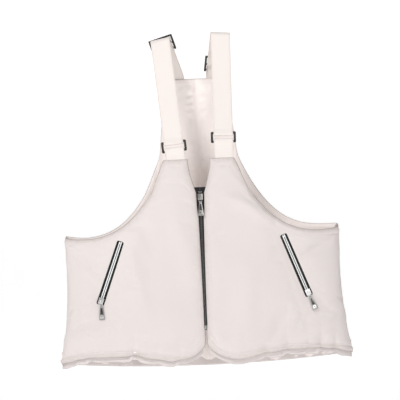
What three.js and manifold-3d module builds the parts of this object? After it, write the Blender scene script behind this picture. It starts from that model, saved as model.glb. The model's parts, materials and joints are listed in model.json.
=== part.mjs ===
import * as THREE from 'three';
import Module from 'manifold-3d';
import { mergeVertices } from 'three/addons/utils/BufferGeometryUtils.js';

const wasm = await Module();
wasm.setup();

// A padded, cropped zip vest on two webbing shoulder straps. Millimetres, +Z up, the front faces -Y
// and the wearer's left is +X. Heights are measured up from the lowest point of the back hem, and
// the whole vest is lowered at the end, so that its origin lies where the straps rest on a shoulder.

// body of the vest
const hemHalfWidth = 289;
const chestHalfWidth = 266;
const chestHeight = 248;          // where the side seams stop closing in and the back starts to lean
const hemFlare = 2;               // how late, going down, the sides flare out to the hem
const frontDepth = 55;            // centre front ahead of the side seams
const backDepth = 50;             // centre back behind them
const bibDepth = 28;              // top of the back bib behind them
const sectionPower = 2.5;         // roundness of the horizontal section
const seamGap = 0.4;
const frontBow = 0.24;
const backBow = 0.36;
const fewestRows = 4;             // on each side of the chest line

// front panels
const panelTop = 407;
const strapBaseInner = 22;
const strapBaseOuter = 69;
const zipBottom = 82;
const zipLength = 258;
const edgeGapBottom = 2.2;        // half the gap between the front edges at the hem
const edgeGapTop = 7.2;           // and at the top of the zip
const frontHem = 12;              // lowest point of the front hem, at the end of its round corner
const cornerRadius = 70;
const cornerRise = 46;
const frontHemArch = 12;
const frontHemSide = 4;
const armholeLow = 259;
const armholeLowX = 232;
const armholePower = 2.35;
const armholeCornerRise = 4;

// back panel
const bibTop = 565;
const bibHalfWidth = 60;
const bibFootHalfWidth = 75;
const bibFootHeight = 415;
const backArmholeLow = 270;
const backArmholeLowX = 248;
const backArmholePower = 2.9;
const backHemSideRise = 15;

// layers, as depths below the outer face
const shellThickness = 0.8;
const layerGap = 0.3;
const waddingThickness = 4.9;
const pocketBagThickness = 0.9;
const bagRoom = 0.9;              // on each side of a pocket bag
const liningThickness = 0.6;
const facingThickness = 0.8;
const facingBelowEdge = 9;        // the hem facing hangs this far below the shell's edge
const facingHeight = 31;
const waddingHem = 12;            // wadding ends this far inside the hem
const waddingArmhole = 10;
const waddingStrapRoom = 23;      // and this far below a strap that is sewn in
const backHemFacingRise = 24;

// webbing and its fittings
const webbingWidth = 38;
const webbingThickness = 1.2;
const plyGap = 0.3;
const slotClearance = 2;          // a fitting's slot is this much wider than the webbing
const ringHeight = 22;
const ringBar = 4.5;
const ringThickness = 3;
const ringLoopRoom = 0.9;         // between the ring's bars and the webbing round them
const tabLoopRoom = 1.7;
const ringCorner = 1.5;
const loopStart = 1.5;             // a loop's plies spread from their bar over these lengths
const loopEnd = 10;
const glideHeight = 31;
const glideBar = 4;
const glideBarThickness = 1.8;
const foldRadius = 8;
const foldY = -16;                // the fold's axis, ahead of the side seams
const foldSteps = 8;
const strapSewnIn = 17;
const endLegClear = 0.5;          // between a strap's sewn end and its returning ply
const shortestReturn = 3;
const glideBarEase = 0.3;
const strapEndTail = 0.8;         // the sewn end's tip, past the centre bar
const longLeg = 12;               // a leg longer than this is sewn down along its run
const strapDepth = 4.2;           // depth of a sewn-in strap end below the outer face

const straps = [
  { side: 'right', baseX: -44.6, ringZ: 432, topX: -64, topZ: 643, foldTilt: 11, glideDrop: 7, endLeg: 2 },
  { side: 'left', baseX: 49.5, ringZ: 446, topX: 52.7, topZ: 651, foldTilt: -4.4, glideDrop: 60.5,
    endLeg: 24 },
];
const bibStrapX = 40;

// zips
const tapeWidth = 13;
const tapeDepth = 2.3;            // the tape's face, behind the shell's outer face
const tapeThickness = 0.6;
const chainGap = 1;               // half the gap between the two rows of elements
const coilWidth = 2;
const coilThickness = 1.2;
const coilSink = 0.1;             // coils stand this far off the tape
const stopLength = 2.5;
const zipPartGap = 0.3;
const tapeBelowChain = 10;
const tapeAboveChain = 8;
const tapeSideClear = 1.5;
const sliderHalfWidth = 5;
const sliderLength = 12;
const sliderPlate = 1.1;
const sliderFrontClear = 0.9;
const sliderPostHalf = 0.6;
const sliderBackClear = 0.5;
const bridgeHalfWidth = 1.2;
const bridgeHalfLength = 3;
const bridgeHoleHalf = 1.8;
const bridgeHoleHeight = 1.6;
const bridgeRoof = 1;
const bridgeSink = 0.4;           // its feet go this far into the slider's plate
const linkWire = 0.9;
const linkHalfWidth = 3.2;
const linkLength = 9.4;            // from the bridge to the pull's barrel
const barrelRadius = 1.6;
const barrelHole = 0.85;
const barrelHalfWidth = 1.8;
const pullLength = 26.5;
const pullTopHalf = 2.4;
const pullBottomHalf = 5.8;
const pullThickness = 1.4;
const pullWindow = 2.4;
const pullWindowRise = 2.6;
const pullCorner = 1;

// pockets: the zip runs on a slant in the front panel
const pocketTop = new THREE.Vector2(160, 247);
const pocketBottom = new THREE.Vector2(204, 131.5);
const slotTopHalf = 6;
const slotBottomHalf = 7.4;
const slotEndRoom = 7.5;
const waddingEndRoom = 13.5;
const slotCutterDepth = 24;
const slotCutterBack = 14;
const bagInner = 104;
const bagOuter = 226;
const bagBottom = 62;
const bagTop = 238;
const rightPullHang = -0.4;       // radians by which the right pocket's pull hangs off its zip's line

// finishes
const finish = (color, roughness, metalness = 0) => ({ color, roughness, metalness });
const clothFinish = finish(0xe6dcd8, 0.85);
const waddingFinish = finish(0xf2f0ea, 0.95);
const liningFinish = finish(0xd9cec6, 0.7);
const webbingFinish = finish(0xede4df, 0.8);
const hardwareFinish = finish(0x1e1b19, 0.35);
const blackTapeFinish = finish(0x161618, 0.8);
const silverFinish = finish(0xc9c9cb, 0.3, 1);
const blackMetalFinish = finish(0x1b1b1d, 0.3, 1);

const group = new THREE.Group();
const vest = new THREE.Group();
group.add(vest);

function addPiece(name, geometry, look, parent = vest) {
  const mesh = new THREE.Mesh(geometry, new THREE.MeshStandardMaterial(look));
  mesh.name = name;
  parent.add(mesh);
  return mesh;
}

// ---- solids ----

function toSolid(geometry) {
  const bare = geometry.clone();
  bare.deleteAttribute('normal');
  bare.deleteAttribute('uv');
  const merged = mergeVertices(bare, 1e-4);
  return new wasm.Manifold(new wasm.Mesh({
    numProp: 3,
    vertProperties: new Float32Array(merged.attributes.position.array),
    triVerts: new Uint32Array(merged.index.array),
  }));
}

function toGeometry(solid) {
  const mesh = solid.getMesh();
  const geometry = new THREE.BufferGeometry();
  geometry.setAttribute('position', new THREE.BufferAttribute(mesh.vertProperties, 3));
  geometry.setIndex(new THREE.BufferAttribute(mesh.triVerts, 1));
  return geometry;
}

const cutAway = (geometry, tool) => toGeometry(toSolid(geometry).subtract(toSolid(tool)));
const joined = (first, second) => toGeometry(toSolid(first).add(toSolid(second)));

// A grid of points given twice, as an outer and an inner face, closed round its edge.
function gridSolid(columns, rows, place) {
  const points = [];
  for (const face of [0, 1]) {
    for (let row = 0; row <= rows; row++) {
      for (let column = 0; column <= columns; column++) {
        points.push(...place(column, row, face));
      }
    }
  }
  const at = (column, row, face) => (face * (rows + 1) + row) * (columns + 1) + column;
  const triangles = [];
  const quad = (a, b, c, d) => triangles.push(a, b, c, a, c, d);
  for (let row = 0; row < rows; row++) {
    for (let column = 0; column < columns; column++) {
      quad(at(column, row, 0), at(column + 1, row, 0), at(column + 1, row + 1, 0), at(column, row + 1, 0));
      quad(at(column, row, 1), at(column, row + 1, 1), at(column + 1, row + 1, 1), at(column + 1, row, 1));
    }
  }
  for (let column = 0; column < columns; column++) {
    quad(at(column, 0, 1), at(column + 1, 0, 1), at(column + 1, 0, 0), at(column, 0, 0));
    quad(at(column, rows, 0), at(column + 1, rows, 0), at(column + 1, rows, 1), at(column, rows, 1));
  }
  for (let row = 0; row < rows; row++) {
    quad(at(0, row, 0), at(0, row + 1, 0), at(0, row + 1, 1), at(0, row, 1));
    quad(at(columns, row, 1), at(columns, row + 1, 1), at(columns, row + 1, 0), at(columns, row, 0));
  }
  return outward(points, triangles);
}

// The closed mesh with its faces turned outward, whichever way the grid ran.
function outward(points, triangles) {
  let volume = 0;
  const corner = [new THREE.Vector3(), new THREE.Vector3(), new THREE.Vector3()];
  for (let i = 0; i < triangles.length; i += 3) {
    for (let k = 0; k < 3; k++) corner[k].fromArray(points, triangles[i + k] * 3);
    volume += corner[0].dot(corner[1].cross(corner[2]));
  }
  if (volume < 0) triangles.reverse();
  const geometry = new THREE.BufferGeometry();
  geometry.setAttribute('position', new THREE.Float32BufferAttribute(points, 3));
  geometry.setIndex(triangles);
  return geometry;
}

// Webbing along a path: each stop has its middle and the direction of its width.
function webbing(stops, width = webbingWidth) {
  const tangentAt = (i) => {
    const from = stops[Math.max(i - 1, 0)].middle;
    const to = stops[Math.min(i + 1, stops.length - 1)].middle;
    return to.clone().sub(from).normalize();
  };
  return gridSolid(1, stops.length - 1, (column, row, face) => {
    const { middle, across } = stops[row];
    const out = tangentAt(row).cross(across).normalize();
    return middle.clone()
      .addScaledVector(across, (column - 0.5) * width)
      .addScaledVector(out, (0.5 - face) * webbingThickness)
      .toArray();
  });
}

// ---- the vest's surface ----

const clamp01 = (t) => Math.min(Math.max(t, 0), 1);
const mix = (a, b, t) => a + (b - a) * t;
const halfWidthAt = (z) => mix(chestHalfWidth, hemHalfWidth, (1 - clamp01(z / chestHeight)) ** hemFlare);
const backDepthAt = (z) => mix(backDepth, bibDepth, clamp01((z - chestHeight) / (bibTop - chestHeight)));

// The height of a layer's row, with as many rows below the chest line as above it.
function rowHeight(foot, head, row, rows) {
  const half = rows / 2;
  if (row <= half) return mix(foot, Math.min(chestHeight, head), row / half);
  return mix(Math.min(chestHeight, head), head, (row - half) / half);
}

// A point of the front (facing -1) or back (facing +1), a given depth below the outer face.
function surfacePoint(x, z, depth, facing) {
  const width = halfWidthAt(z);
  const reach = facing < 0 ? frontDepth : backDepthAt(z);
  const across = Math.min(Math.abs(x) / width, 1);
  const along = (1 - across ** sectionPower) ** (1 / sectionPower);
  const normal = new THREE.Vector2(
    Math.sign(x) * across ** (sectionPower - 1) / width,
    facing * along ** (sectionPower - 1) / reach,
  ).normalize();
  const y = facing * Math.max(along * reach - Math.abs(normal.y) * depth, seamGap / 2);
  return [x - normal.x * depth, y, z];
}

function frontEdgeX(z) {
  const zipTop = zipBottom + zipLength;
  if (z < zipTop) return mix(edgeGapBottom, edgeGapTop, clamp01(z / zipTop));
  return mix(edgeGapTop, strapBaseInner, Math.sin(clamp01((z - zipTop) / (panelTop - zipTop)) * Math.PI / 2));
}

function frontTopZ(x) {
  if (x <= strapBaseOuter) return panelTop;
  if (x > armholeLowX) {
    const past = (x - armholeLowX) / (chestHalfWidth - armholeLowX);
    return armholeLow + armholeCornerRise * clamp01(past) ** 2;
  }
  const back = (armholeLowX - x) / (armholeLowX - strapBaseOuter);
  return armholeLow + (panelTop - armholeLow) * back ** armholePower;
}

function frontHemZ(x) {
  if (x < cornerRadius) {
    const inward = (cornerRadius - x) / cornerRadius;
    return frontHem + cornerRise * (1 - Math.sqrt(1 - inward ** 2));
  }
  const outwards = (x - cornerRadius) / (hemHalfWidth - cornerRadius);
  return frontHem + frontHemSide * outwards + frontHemArch * Math.sin(Math.PI * outwards);
}

function backTopZ(x) {
  const from = Math.abs(x);
  if (from <= bibHalfWidth) return bibTop;
  if (from <= bibFootHalfWidth) {
    return mix(bibTop, bibFootHeight, (from - bibHalfWidth) / (bibFootHalfWidth - bibHalfWidth));
  }
  const back = clamp01((backArmholeLowX - from) / (backArmholeLowX - bibFootHalfWidth));
  return backArmholeLow + (bibFootHeight - backArmholeLow) * back ** backArmholePower;
}

const backHemZ = (x) => backHemSideRise * (x / hemHalfWidth) ** 2;

// Where the columns of a panel stand, from its inner edge (0) to its side seam (1), close together
// in the hem's round corner, at the strap's base and where the side turns.
const baseColumn = (strapBaseOuter - strapBaseInner) / (chestHalfWidth - strapBaseInner);
const frontColumns = [0, 0.025, 0.07, 0.13, baseColumn, 0.24, 0.3, 0.38, 0.47, 0.57, 0.68, 0.8,
  0.9, 0.96, 0.985, 0.996, 1];
// Rows enough that the flare's curve bows no further than this from its flat facets.
const flareBend = hemFlare * (hemFlare - 1) * Math.abs(hemHalfWidth - chestHalfWidth) / chestHeight ** 2;
const rowsWithin = (bow) => {
  const below = Math.ceil(chestHeight * Math.sqrt(flareBend / (8 * bow)));
  return 2 * Math.max(below, fewestRows);
};
const frontRows = rowsWithin(frontBow);
const backColumns = [0, bibHalfWidth / chestHalfWidth / 2, bibHalfWidth / chestHalfWidth,
  bibFootHalfWidth / chestHalfWidth, 0.33, 0.4, 0.5, 0.63, 0.78, 0.9, 0.96, 0.985, 0.996, 1];
const backRows = rowsWithin(backBow);
const facingRows = 2;

// One layer of a front panel. The edges are set in from the shell's own.
function frontLayer(sign, outer, thickness, inset = {}, rows = frontRows) {
  const { centre = 0, hem = 0, armhole = 0, top = 0, ceiling = Infinity } = inset;
  return gridSolid(frontColumns.length - 1, rows, (column, row, face) => {
    const share = frontColumns[column];
    const topX = mix(strapBaseInner, chestHalfWidth, share);
    const foot = frontHemZ(mix(edgeGapBottom, hemHalfWidth, share)) + hem;
    const head = Math.min(frontTopZ(topX) - armhole, panelTop - top, foot + ceiling);
    const z = rowHeight(foot, head, row, rows);
    const edge = frontEdgeX(z) + centre;
    return surfacePoint(sign * mix(edge, halfWidthAt(z), share), z, outer + face * thickness, -1);
  });
}

// One layer of the back panel, across both sides.
function backLayer(outer, thickness, inset = {}, rows = backRows) {
  const { hem = 0, armhole = 0, top = 0, ceiling = Infinity } = inset;
  const shares = [...backColumns.slice(1).reverse().map((share) => -share), ...backColumns];
  return gridSolid(shares.length - 1, rows, (column, row, face) => {
    const share = shares[column];
    const foot = backHemZ(share * hemHalfWidth) + hem;
    const head = Math.min(backTopZ(share * chestHalfWidth) - armhole, bibTop - top, foot + ceiling);
    const z = rowHeight(foot, head, row, rows);
    return surfacePoint(share * halfWidthAt(z), z, outer + face * thickness, 1);
  });
}

const waddingDepth = shellThickness + layerGap;
const bagDepth = waddingDepth + waddingThickness + bagRoom;
const liningDepth = bagDepth + pocketBagThickness + bagRoom;
const facingDepth = liningDepth + liningThickness + layerGap;
const zipClear = tapeWidth + chainGap + tapeSideClear;

// ---- zips ----
// Each zip is built in its own frame: X across it, -Y out of the cloth, Z up along it, and the
// outer face of the cloth at Y = 0.

function block(x0, x1, y0, y1, z0, z1) {
  const box = new THREE.BoxGeometry(x1 - x0, y1 - y0, z1 - z0);
  return box.translate((x0 + x1) / 2, (y0 + y1) / 2, (z0 + z1) / 2);
}

function outline(points) {
  return new THREE.Shape(points.map(([x, y]) => new THREE.Vector2(x, y)));
}

// An outline in X and Y pushed up along Z.
function pushedUp(shape, bottom, top) {
  const solid = new THREE.ExtrudeGeometry(shape, { depth: top - bottom, bevelEnabled: false });
  return solid.translate(0, 0, bottom);
}

// An outline in Y (first) and Z (second) pushed out both ways along X.
function pushedAcross(shape, half) {
  const solid = new THREE.ExtrudeGeometry(shape, { depth: 2 * half, bevelEnabled: false });
  solid.translate(0, 0, -half);
  solid.applyMatrix4(new THREE.Matrix4().set(0, 0, 1, 0, 1, 0, 0, 0, 0, 1, 0, 0, 0, 0, 0, 1));
  return solid;
}

function sliderBody() {
  const front = -sliderFrontClear - sliderPlate;
  const back = tapeDepth + tapeThickness + sliderBackClear;
  const half = sliderHalfWidth;
  const post = sliderPostHalf;
  const profile = outline([
    [-half, front], [half, front], [half, -sliderFrontClear], [post, -sliderFrontClear],
    [post, back], [half, back], [half, back + sliderPlate], [-half, back + sliderPlate],
    [-half, back], [-post, back], [-post, -sliderFrontClear], [-half, -sliderFrontClear],
  ]);
  const body = pushedUp(profile, -sliderLength / 2, sliderLength / 2);
  const rise = front - bridgeHoleHeight;
  const arch = pushedAcross(outline([
    [front + bridgeSink, -bridgeHalfLength], [front + bridgeSink, -bridgeHoleHalf], [rise, -bridgeHoleHalf],
    [rise, bridgeHoleHalf], [front + bridgeSink, bridgeHoleHalf], [front + bridgeSink, bridgeHalfLength],
    [rise - bridgeRoof * 0.4, bridgeHalfLength], [rise - bridgeRoof, bridgeHalfLength * 0.6],
    [rise - bridgeRoof, -bridgeHalfLength * 0.6], [rise - bridgeRoof * 0.4, -bridgeHalfLength],
  ]), bridgeHalfWidth);
  return joined(body, arch);
}

const hingeY = -sliderFrontClear - sliderPlate - bridgeHoleHeight / 2;

function linkLoop() {
  const wire = linkWire / 2;
  const loop = outline([
    [-linkHalfWidth, -linkLength - wire], [linkHalfWidth, -linkLength - wire],
    [linkHalfWidth, wire], [-linkHalfWidth, wire],
  ]);
  const inner = linkHalfWidth - linkWire;
  loop.holes.push(new THREE.Path([
    new THREE.Vector2(-inner, -linkLength + wire), new THREE.Vector2(-inner, -wire),
    new THREE.Vector2(inner, -wire), new THREE.Vector2(inner, -linkLength + wire),
  ]));
  const solid = pushedUp(loop, -wire, wire);
  return solid.rotateX(Math.PI / 2).translate(0, hingeY, 0);
}

function pullTab() {
  const top = -linkLength - barrelRadius * 0.5;
  const bottom = top - pullLength;
  const window = bottom + pullWindowRise;
  const plate = outline([
    [-pullBottomHalf + pullCorner, bottom], [pullBottomHalf - pullCorner, bottom],
    [pullBottomHalf, bottom + pullCorner],
    [pullTopHalf, top], [-pullTopHalf, top], [-pullBottomHalf, bottom + pullCorner],
  ]);
  plate.holes.push(new THREE.Path([
    new THREE.Vector2(-pullWindow / 2, window), new THREE.Vector2(-pullWindow / 2, window + pullWindow),
    new THREE.Vector2(pullWindow / 2, window + pullWindow), new THREE.Vector2(pullWindow / 2, window),
  ]));
  const flat = pushedUp(plate, -pullThickness / 2, pullThickness / 2);
  flat.rotateX(Math.PI / 2).translate(0, hingeY, 0);
  const barrel = new THREE.Shape().absarc(hingeY, -linkLength, barrelRadius, 0, Math.PI * 2);
  const tab = toSolid(flat)
    .add(toSolid(pushedAcross(barrel, barrelHalfWidth)))
    .subtract(toSolid(block(-linkHalfWidth, linkHalfWidth, hingeY - barrelHole, hingeY + barrelHole,
      -linkLength - barrelHole, -linkLength + barrelHole)));
  return toGeometry(tab);
}

// Tapes, coils, stops, slider, link and pull. The chain runs from 0 to length, and the slider's
// middle stands at sliderAt. hang turns the link and pull about the line out of the cloth.
function addZip(name, frame, { length, sliderAt, hang = 0, elementFinish, metal, parts }) {
  const tapeBack = tapeDepth + tapeThickness;
  const coilBack = tapeDepth - coilSink;
  const coilFront = coilBack - coilThickness;
  for (const [side, sign] of [['right', -1], ['left', 1]]) {
    const span = (from, to) => (sign > 0 ? [from, to] : [-to, -from]);
    addPiece(`${name}_tape_${side}`,
      block(...span(chainGap, chainGap + tapeWidth), tapeDepth, tapeBack,
        -tapeBelowChain, length + tapeAboveChain),
      blackTapeFinish, frame);
    addPiece(`${name}_coil_${side}`,
      block(...span(chainGap, chainGap + coilWidth), coilFront, coilBack, 0, length), elementFinish, frame);
  }
  for (const { suffix, x0, x1, z0, z1 } of parts) {
    addPiece(`${name}_${suffix}`, block(x0, x1, coilFront, coilBack, z0, z1), metal, frame);
  }
  const slider = new THREE.Group();
  slider.position.z = sliderAt;
  frame.add(slider);
  addPiece(`${name}_slider`, sliderBody(), metal, slider);
  const hanging = new THREE.Group();
  hanging.rotation.y = hang;
  slider.add(hanging);
  addPiece(`${name}_link`, linkLoop(), metal, hanging);
  addPiece(`${name}_pull`, pullTab(), metal, hanging);
}

const chainOuter = chainGap + coilWidth;

function addCentreZip() {
  const frame = new THREE.Group();
  frame.position.set(0, -frontDepth, zipBottom);
  vest.add(frame);
  const above = zipLength + zipPartGap;
  addZip('front_zip', frame, {
    length: zipLength,
    sliderAt: zipLength - sliderLength / 2 - 2,
    elementFinish: blackTapeFinish,
    metal: blackMetalFinish,
    parts: [
      { suffix: 'top_stop_right', x0: -chainOuter, x1: -chainGap, z0: above, z1: above + stopLength },
      { suffix: 'top_stop_left', x0: chainGap, x1: chainOuter, z0: above, z1: above + stopLength },
      { suffix: 'retainer_box', x0: -chainOuter - 0.4, x1: 0.2, z0: -8, z1: -zipPartGap },
      { suffix: 'insertion_pin', x0: 0.6, x1: 2, z0: -8, z1: -zipPartGap },
    ],
  });
}

// The pocket zip's frame: its origin at the chain's lower end, Z up the chain, -Y out of the cloth.
function pocketFrame(sign) {
  const low = new THREE.Vector3(...surfacePoint(sign * pocketBottom.x, pocketBottom.y, 0, -1));
  const high = new THREE.Vector3(...surfacePoint(sign * pocketTop.x, pocketTop.y, 0, -1));
  const middleX = sign * (pocketBottom.x + pocketTop.x) / 2;
  const middleZ = (pocketBottom.y + pocketTop.y) / 2;
  const outer = new THREE.Vector3(...surfacePoint(middleX, middleZ, 0, -1));
  const inner = new THREE.Vector3(...surfacePoint(middleX, middleZ, 1, -1));
  const up = high.clone().sub(low).normalize();
  const inward = inner.sub(outer);
  const across = inward.clone().cross(up).normalize();
  const square = up.clone().cross(across);
  return {
    matrix: new THREE.Matrix4().makeBasis(across, square, up).setPosition(low),
    length: high.distanceTo(low),
  };
}

// The hole for a pocket's zip, wider at its lower end, right through the cloth.
function pocketSlot(sign, bottomHalf, topHalf, room) {
  const { matrix, length } = pocketFrame(sign);
  const hole = outline([
    [-bottomHalf, -room], [bottomHalf, -room], [topHalf, length + room], [-topHalf, length + room],
  ]);
  const tool = new THREE.ExtrudeGeometry(hole, { depth: slotCutterDepth, bevelEnabled: false });
  tool.rotateX(Math.PI / 2).translate(0, slotCutterBack, 0);
  return tool.applyMatrix4(matrix);
}

function addPocket(side, sign) {
  const { matrix, length } = pocketFrame(sign);
  const frame = new THREE.Group();
  matrix.decompose(frame.position, frame.quaternion, frame.scale);
  vest.add(frame);
  addZip(`pocket_zip_${side}`, frame, {
    length,
    sliderAt: sliderLength / 2 + 0.5,
    hang: sign < 0 ? rightPullHang : 0,
    elementFinish: silverFinish,
    metal: silverFinish,
    parts: [
      { suffix: 'top_stop', x0: -chainOuter, x1: chainOuter, z0: length + zipPartGap,
        z1: length + zipPartGap + stopLength },
      { suffix: 'bottom_stop', x0: -chainOuter, x1: chainOuter, z0: -zipPartGap - stopLength,
        z1: -zipPartGap },
    ],
  });
  addPiece(`pocket_bag_${side}`, gridSolid(6, 5, (column, row, face) => {
    const z = mix(bagBottom, bagTop, row / 5);
    const slant = (z - bagBottom) / (bagTop - bagBottom);
    const x = mix(bagInner, bagOuter - slant * (bagOuter - pocketTop.x - zipClear), column / 6);
    return surfacePoint(sign * x, z, bagDepth + face * pocketBagThickness, -1);
  }), liningFinish);
}

// ---- panels ----

function addFrontPanel(side, sign) {
  const shell = frontLayer(sign, 0, shellThickness);
  addPiece(`front_shell_${side}`,
    cutAway(shell, pocketSlot(sign, slotBottomHalf, slotTopHalf, slotEndRoom)), clothFinish);
  const wadding = frontLayer(sign, waddingDepth, waddingThickness,
    { centre: zipClear, hem: waddingHem, armhole: waddingArmhole, top: waddingStrapRoom });
  addPiece(`front_wadding_${side}`,
    cutAway(wadding, pocketSlot(sign, zipClear, zipClear, waddingEndRoom)), waddingFinish);
  addPiece(`front_lining_${side}`,
    frontLayer(sign, liningDepth, liningThickness, { centre: sliderHalfWidth }), liningFinish);
  addPiece(`front_hem_facing_${side}`,
    frontLayer(sign, facingDepth, facingThickness,
      { centre: sliderHalfWidth, hem: -facingBelowEdge, ceiling: facingHeight }, facingRows), clothFinish);
}

function addBackPanel() {
  addPiece('back_shell', backLayer(0, shellThickness), clothFinish);
  addPiece('back_wadding', backLayer(waddingDepth, waddingThickness,
    { hem: waddingHem, armhole: waddingArmhole, top: waddingStrapRoom }), waddingFinish);
  addPiece('back_lining', backLayer(liningDepth, liningThickness), liningFinish);
  addPiece('back_hem_facing', backLayer(facingDepth, facingThickness,
    { ceiling: backHemFacingRise }, facingRows), clothFinish);
}

// ---- straps ----

// Unrolled, a strap is one straight band from its panel's top to the bib. It lies flat round a fold
// whose axis is tilted, so `lean`, its drift along that axis, is the same all the way.
function strapPath(strap) {
  const tilt = THREE.MathUtils.degToRad(strap.foldTilt);
  const axis = new THREE.Vector3(Math.cos(tilt), 0, Math.sin(tilt));
  const rise = new THREE.Vector3(-Math.sin(tilt), 0, Math.cos(tilt));
  const centre = new THREE.Vector3(strap.topX, foldY, strap.topZ - foldRadius);
  const bibX = strap.side === 'right' ? -bibStrapX : bibStrapX;
  const base = new THREE.Vector3(strap.baseX, -frontDepth + strapDepth, panelTop);
  const bib = new THREE.Vector3(bibX, bibDepth - strapDepth, bibTop);
  const seen = (point) => {
    const from = point.clone().sub(centre);
    const reach = Math.hypot(from.y, from.dot(rise));
    return { turn: Math.atan2(from.dot(rise), from.y), along: from.dot(axis),
      touch: Math.acos(foldRadius / reach), length: Math.sqrt(reach ** 2 - foldRadius ** 2) };
  };
  const front = seen(base);
  const rear = seen(bib);
  const start = front.turn + 2 * Math.PI - front.touch;
  const end = rear.turn + rear.touch;
  const arc = foldRadius * (start - end);
  const lean = (front.along - rear.along) / (front.length + arc + rear.length);
  const squareTo = (up) => axis.clone().addScaledVector(up, -up.dot(axis)).normalize();
  const fold = (share) => {
    const turn = mix(end, start, share);
    const middle = centre.clone().addScaledVector(axis, rear.along + lean * (rear.length + arc * share))
      .addScaledVector(rise, foldRadius * Math.sin(turn));
    middle.y += foldRadius * Math.cos(turn);
    const onward = axis.clone().multiplyScalar(lean).addScaledVector(rise, Math.cos(turn));
    onward.y -= Math.sin(turn);
    return { middle, across: squareTo(onward.normalize()) };
  };
  return { base, bib, fold, squareTo };
}

// The line that a strap's front run follows, with its axes: up it, across it and out of it.
function frontRun(strap) {
  const { base, fold, squareTo } = strapPath(strap);
  const up = fold(1).middle.sub(base).normalize();
  const across = squareTo(up);
  return { base, up, across, out: across.clone().cross(up) };
}

// The line that its rear run follows, from the fold down to the bib.
function rearRun(strap) {
  const { bib, fold, squareTo } = strapPath(strap);
  const foldEnd = fold(0).middle;
  const up = foldEnd.clone().sub(bib).normalize();
  const across = squareTo(up);
  return { foldEnd, bib, up, across, out: up.clone().cross(across) };
}

const plyPitch = webbingThickness + plyGap;

function ringCentre(strap) {
  const run = frontRun(strap);
  const rise = (strap.ringZ - panelTop) / run.up.z;
  return run.base.clone().addScaledVector(run.up, rise);
}

// Webbing that turns round a bar: from one ply's offset, out round the bar and back. toward is +1
// for a loop that comes from above and -1 for one from below.
function barLoop(centre, run, barAt, toward, room) {
  const radius = ringThickness / 2 + room + webbingThickness / 2;
  const far = barAt - toward * (ringBar / 2 + room + webbingThickness / 2 - radius);
  const stop = (out, along) => ({
    middle: centre.clone().addScaledVector(run.out, out).addScaledVector(run.up, along),
    across: run.across,
  });
  const stops = [stop(plyPitch / 2, far + toward * loopEnd), stop(radius, far + toward * loopStart)];
  for (let step = 0; step <= 6; step++) {
    const turn = Math.PI * step / 6;
    stops.push(stop(radius * Math.cos(turn), far - toward * radius * Math.sin(turn)));
  }
  stops.push(stop(-radius, far + toward * loopStart), stop(-plyPitch / 2, far + toward * loopEnd));
  return stops;
}

function rectangularRing() {
  const half = (webbingWidth + slotClearance) / 2;
  const tall = ringHeight / 2;
  const wide = half + ringBar;
  const frame = outline([
    [-wide + ringCorner, -tall], [wide - ringCorner, -tall], [wide, -tall + ringCorner],
    [wide, tall - ringCorner], [wide - ringCorner, tall], [-wide + ringCorner, tall],
    [-wide, tall - ringCorner], [-wide, -tall + ringCorner],
  ]);
  const inner = tall - ringBar;
  frame.holes.push(new THREE.Path([
    new THREE.Vector2(-half, -inner), new THREE.Vector2(-half, inner),
    new THREE.Vector2(half, inner), new THREE.Vector2(half, -inner),
  ]));
  return pushedUp(frame, -ringThickness / 2, ringThickness / 2);
}

// Outer bars on the strap's outer side, the centre bar on its inner side, and side bars that join
// them past its edges. X across, Y up the strap, Z out of it, with the strap's middle at Z = 0.
function triGlide() {
  const half = (webbingWidth + slotClearance) / 2;
  const tall = glideHeight / 2;
  const face = webbingThickness / 2 + plyGap;
  const outerTop = face + glideBarThickness;
  const centreTop = -face - plyPitch;
  const centreBottom = centreTop - glideBarThickness;
  const side = (sign) => block(sign > 0 ? half : -half - glideBar, sign > 0 ? half + glideBar : -half,
    -tall, tall, centreBottom, outerTop);
  const reach = half + glideBar / 2;
  return toGeometry([
    block(-reach, reach, tall - glideBar, tall, face, outerTop),
    block(-reach, reach, -tall, -tall + glideBar, face, outerTop),
    block(-reach, reach, -glideBar / 2, glideBar / 2, centreBottom, centreTop),
    side(-1),
  ].reduce((whole, piece) => whole.add(toSolid(piece)), toSolid(side(1))));
}

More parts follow.
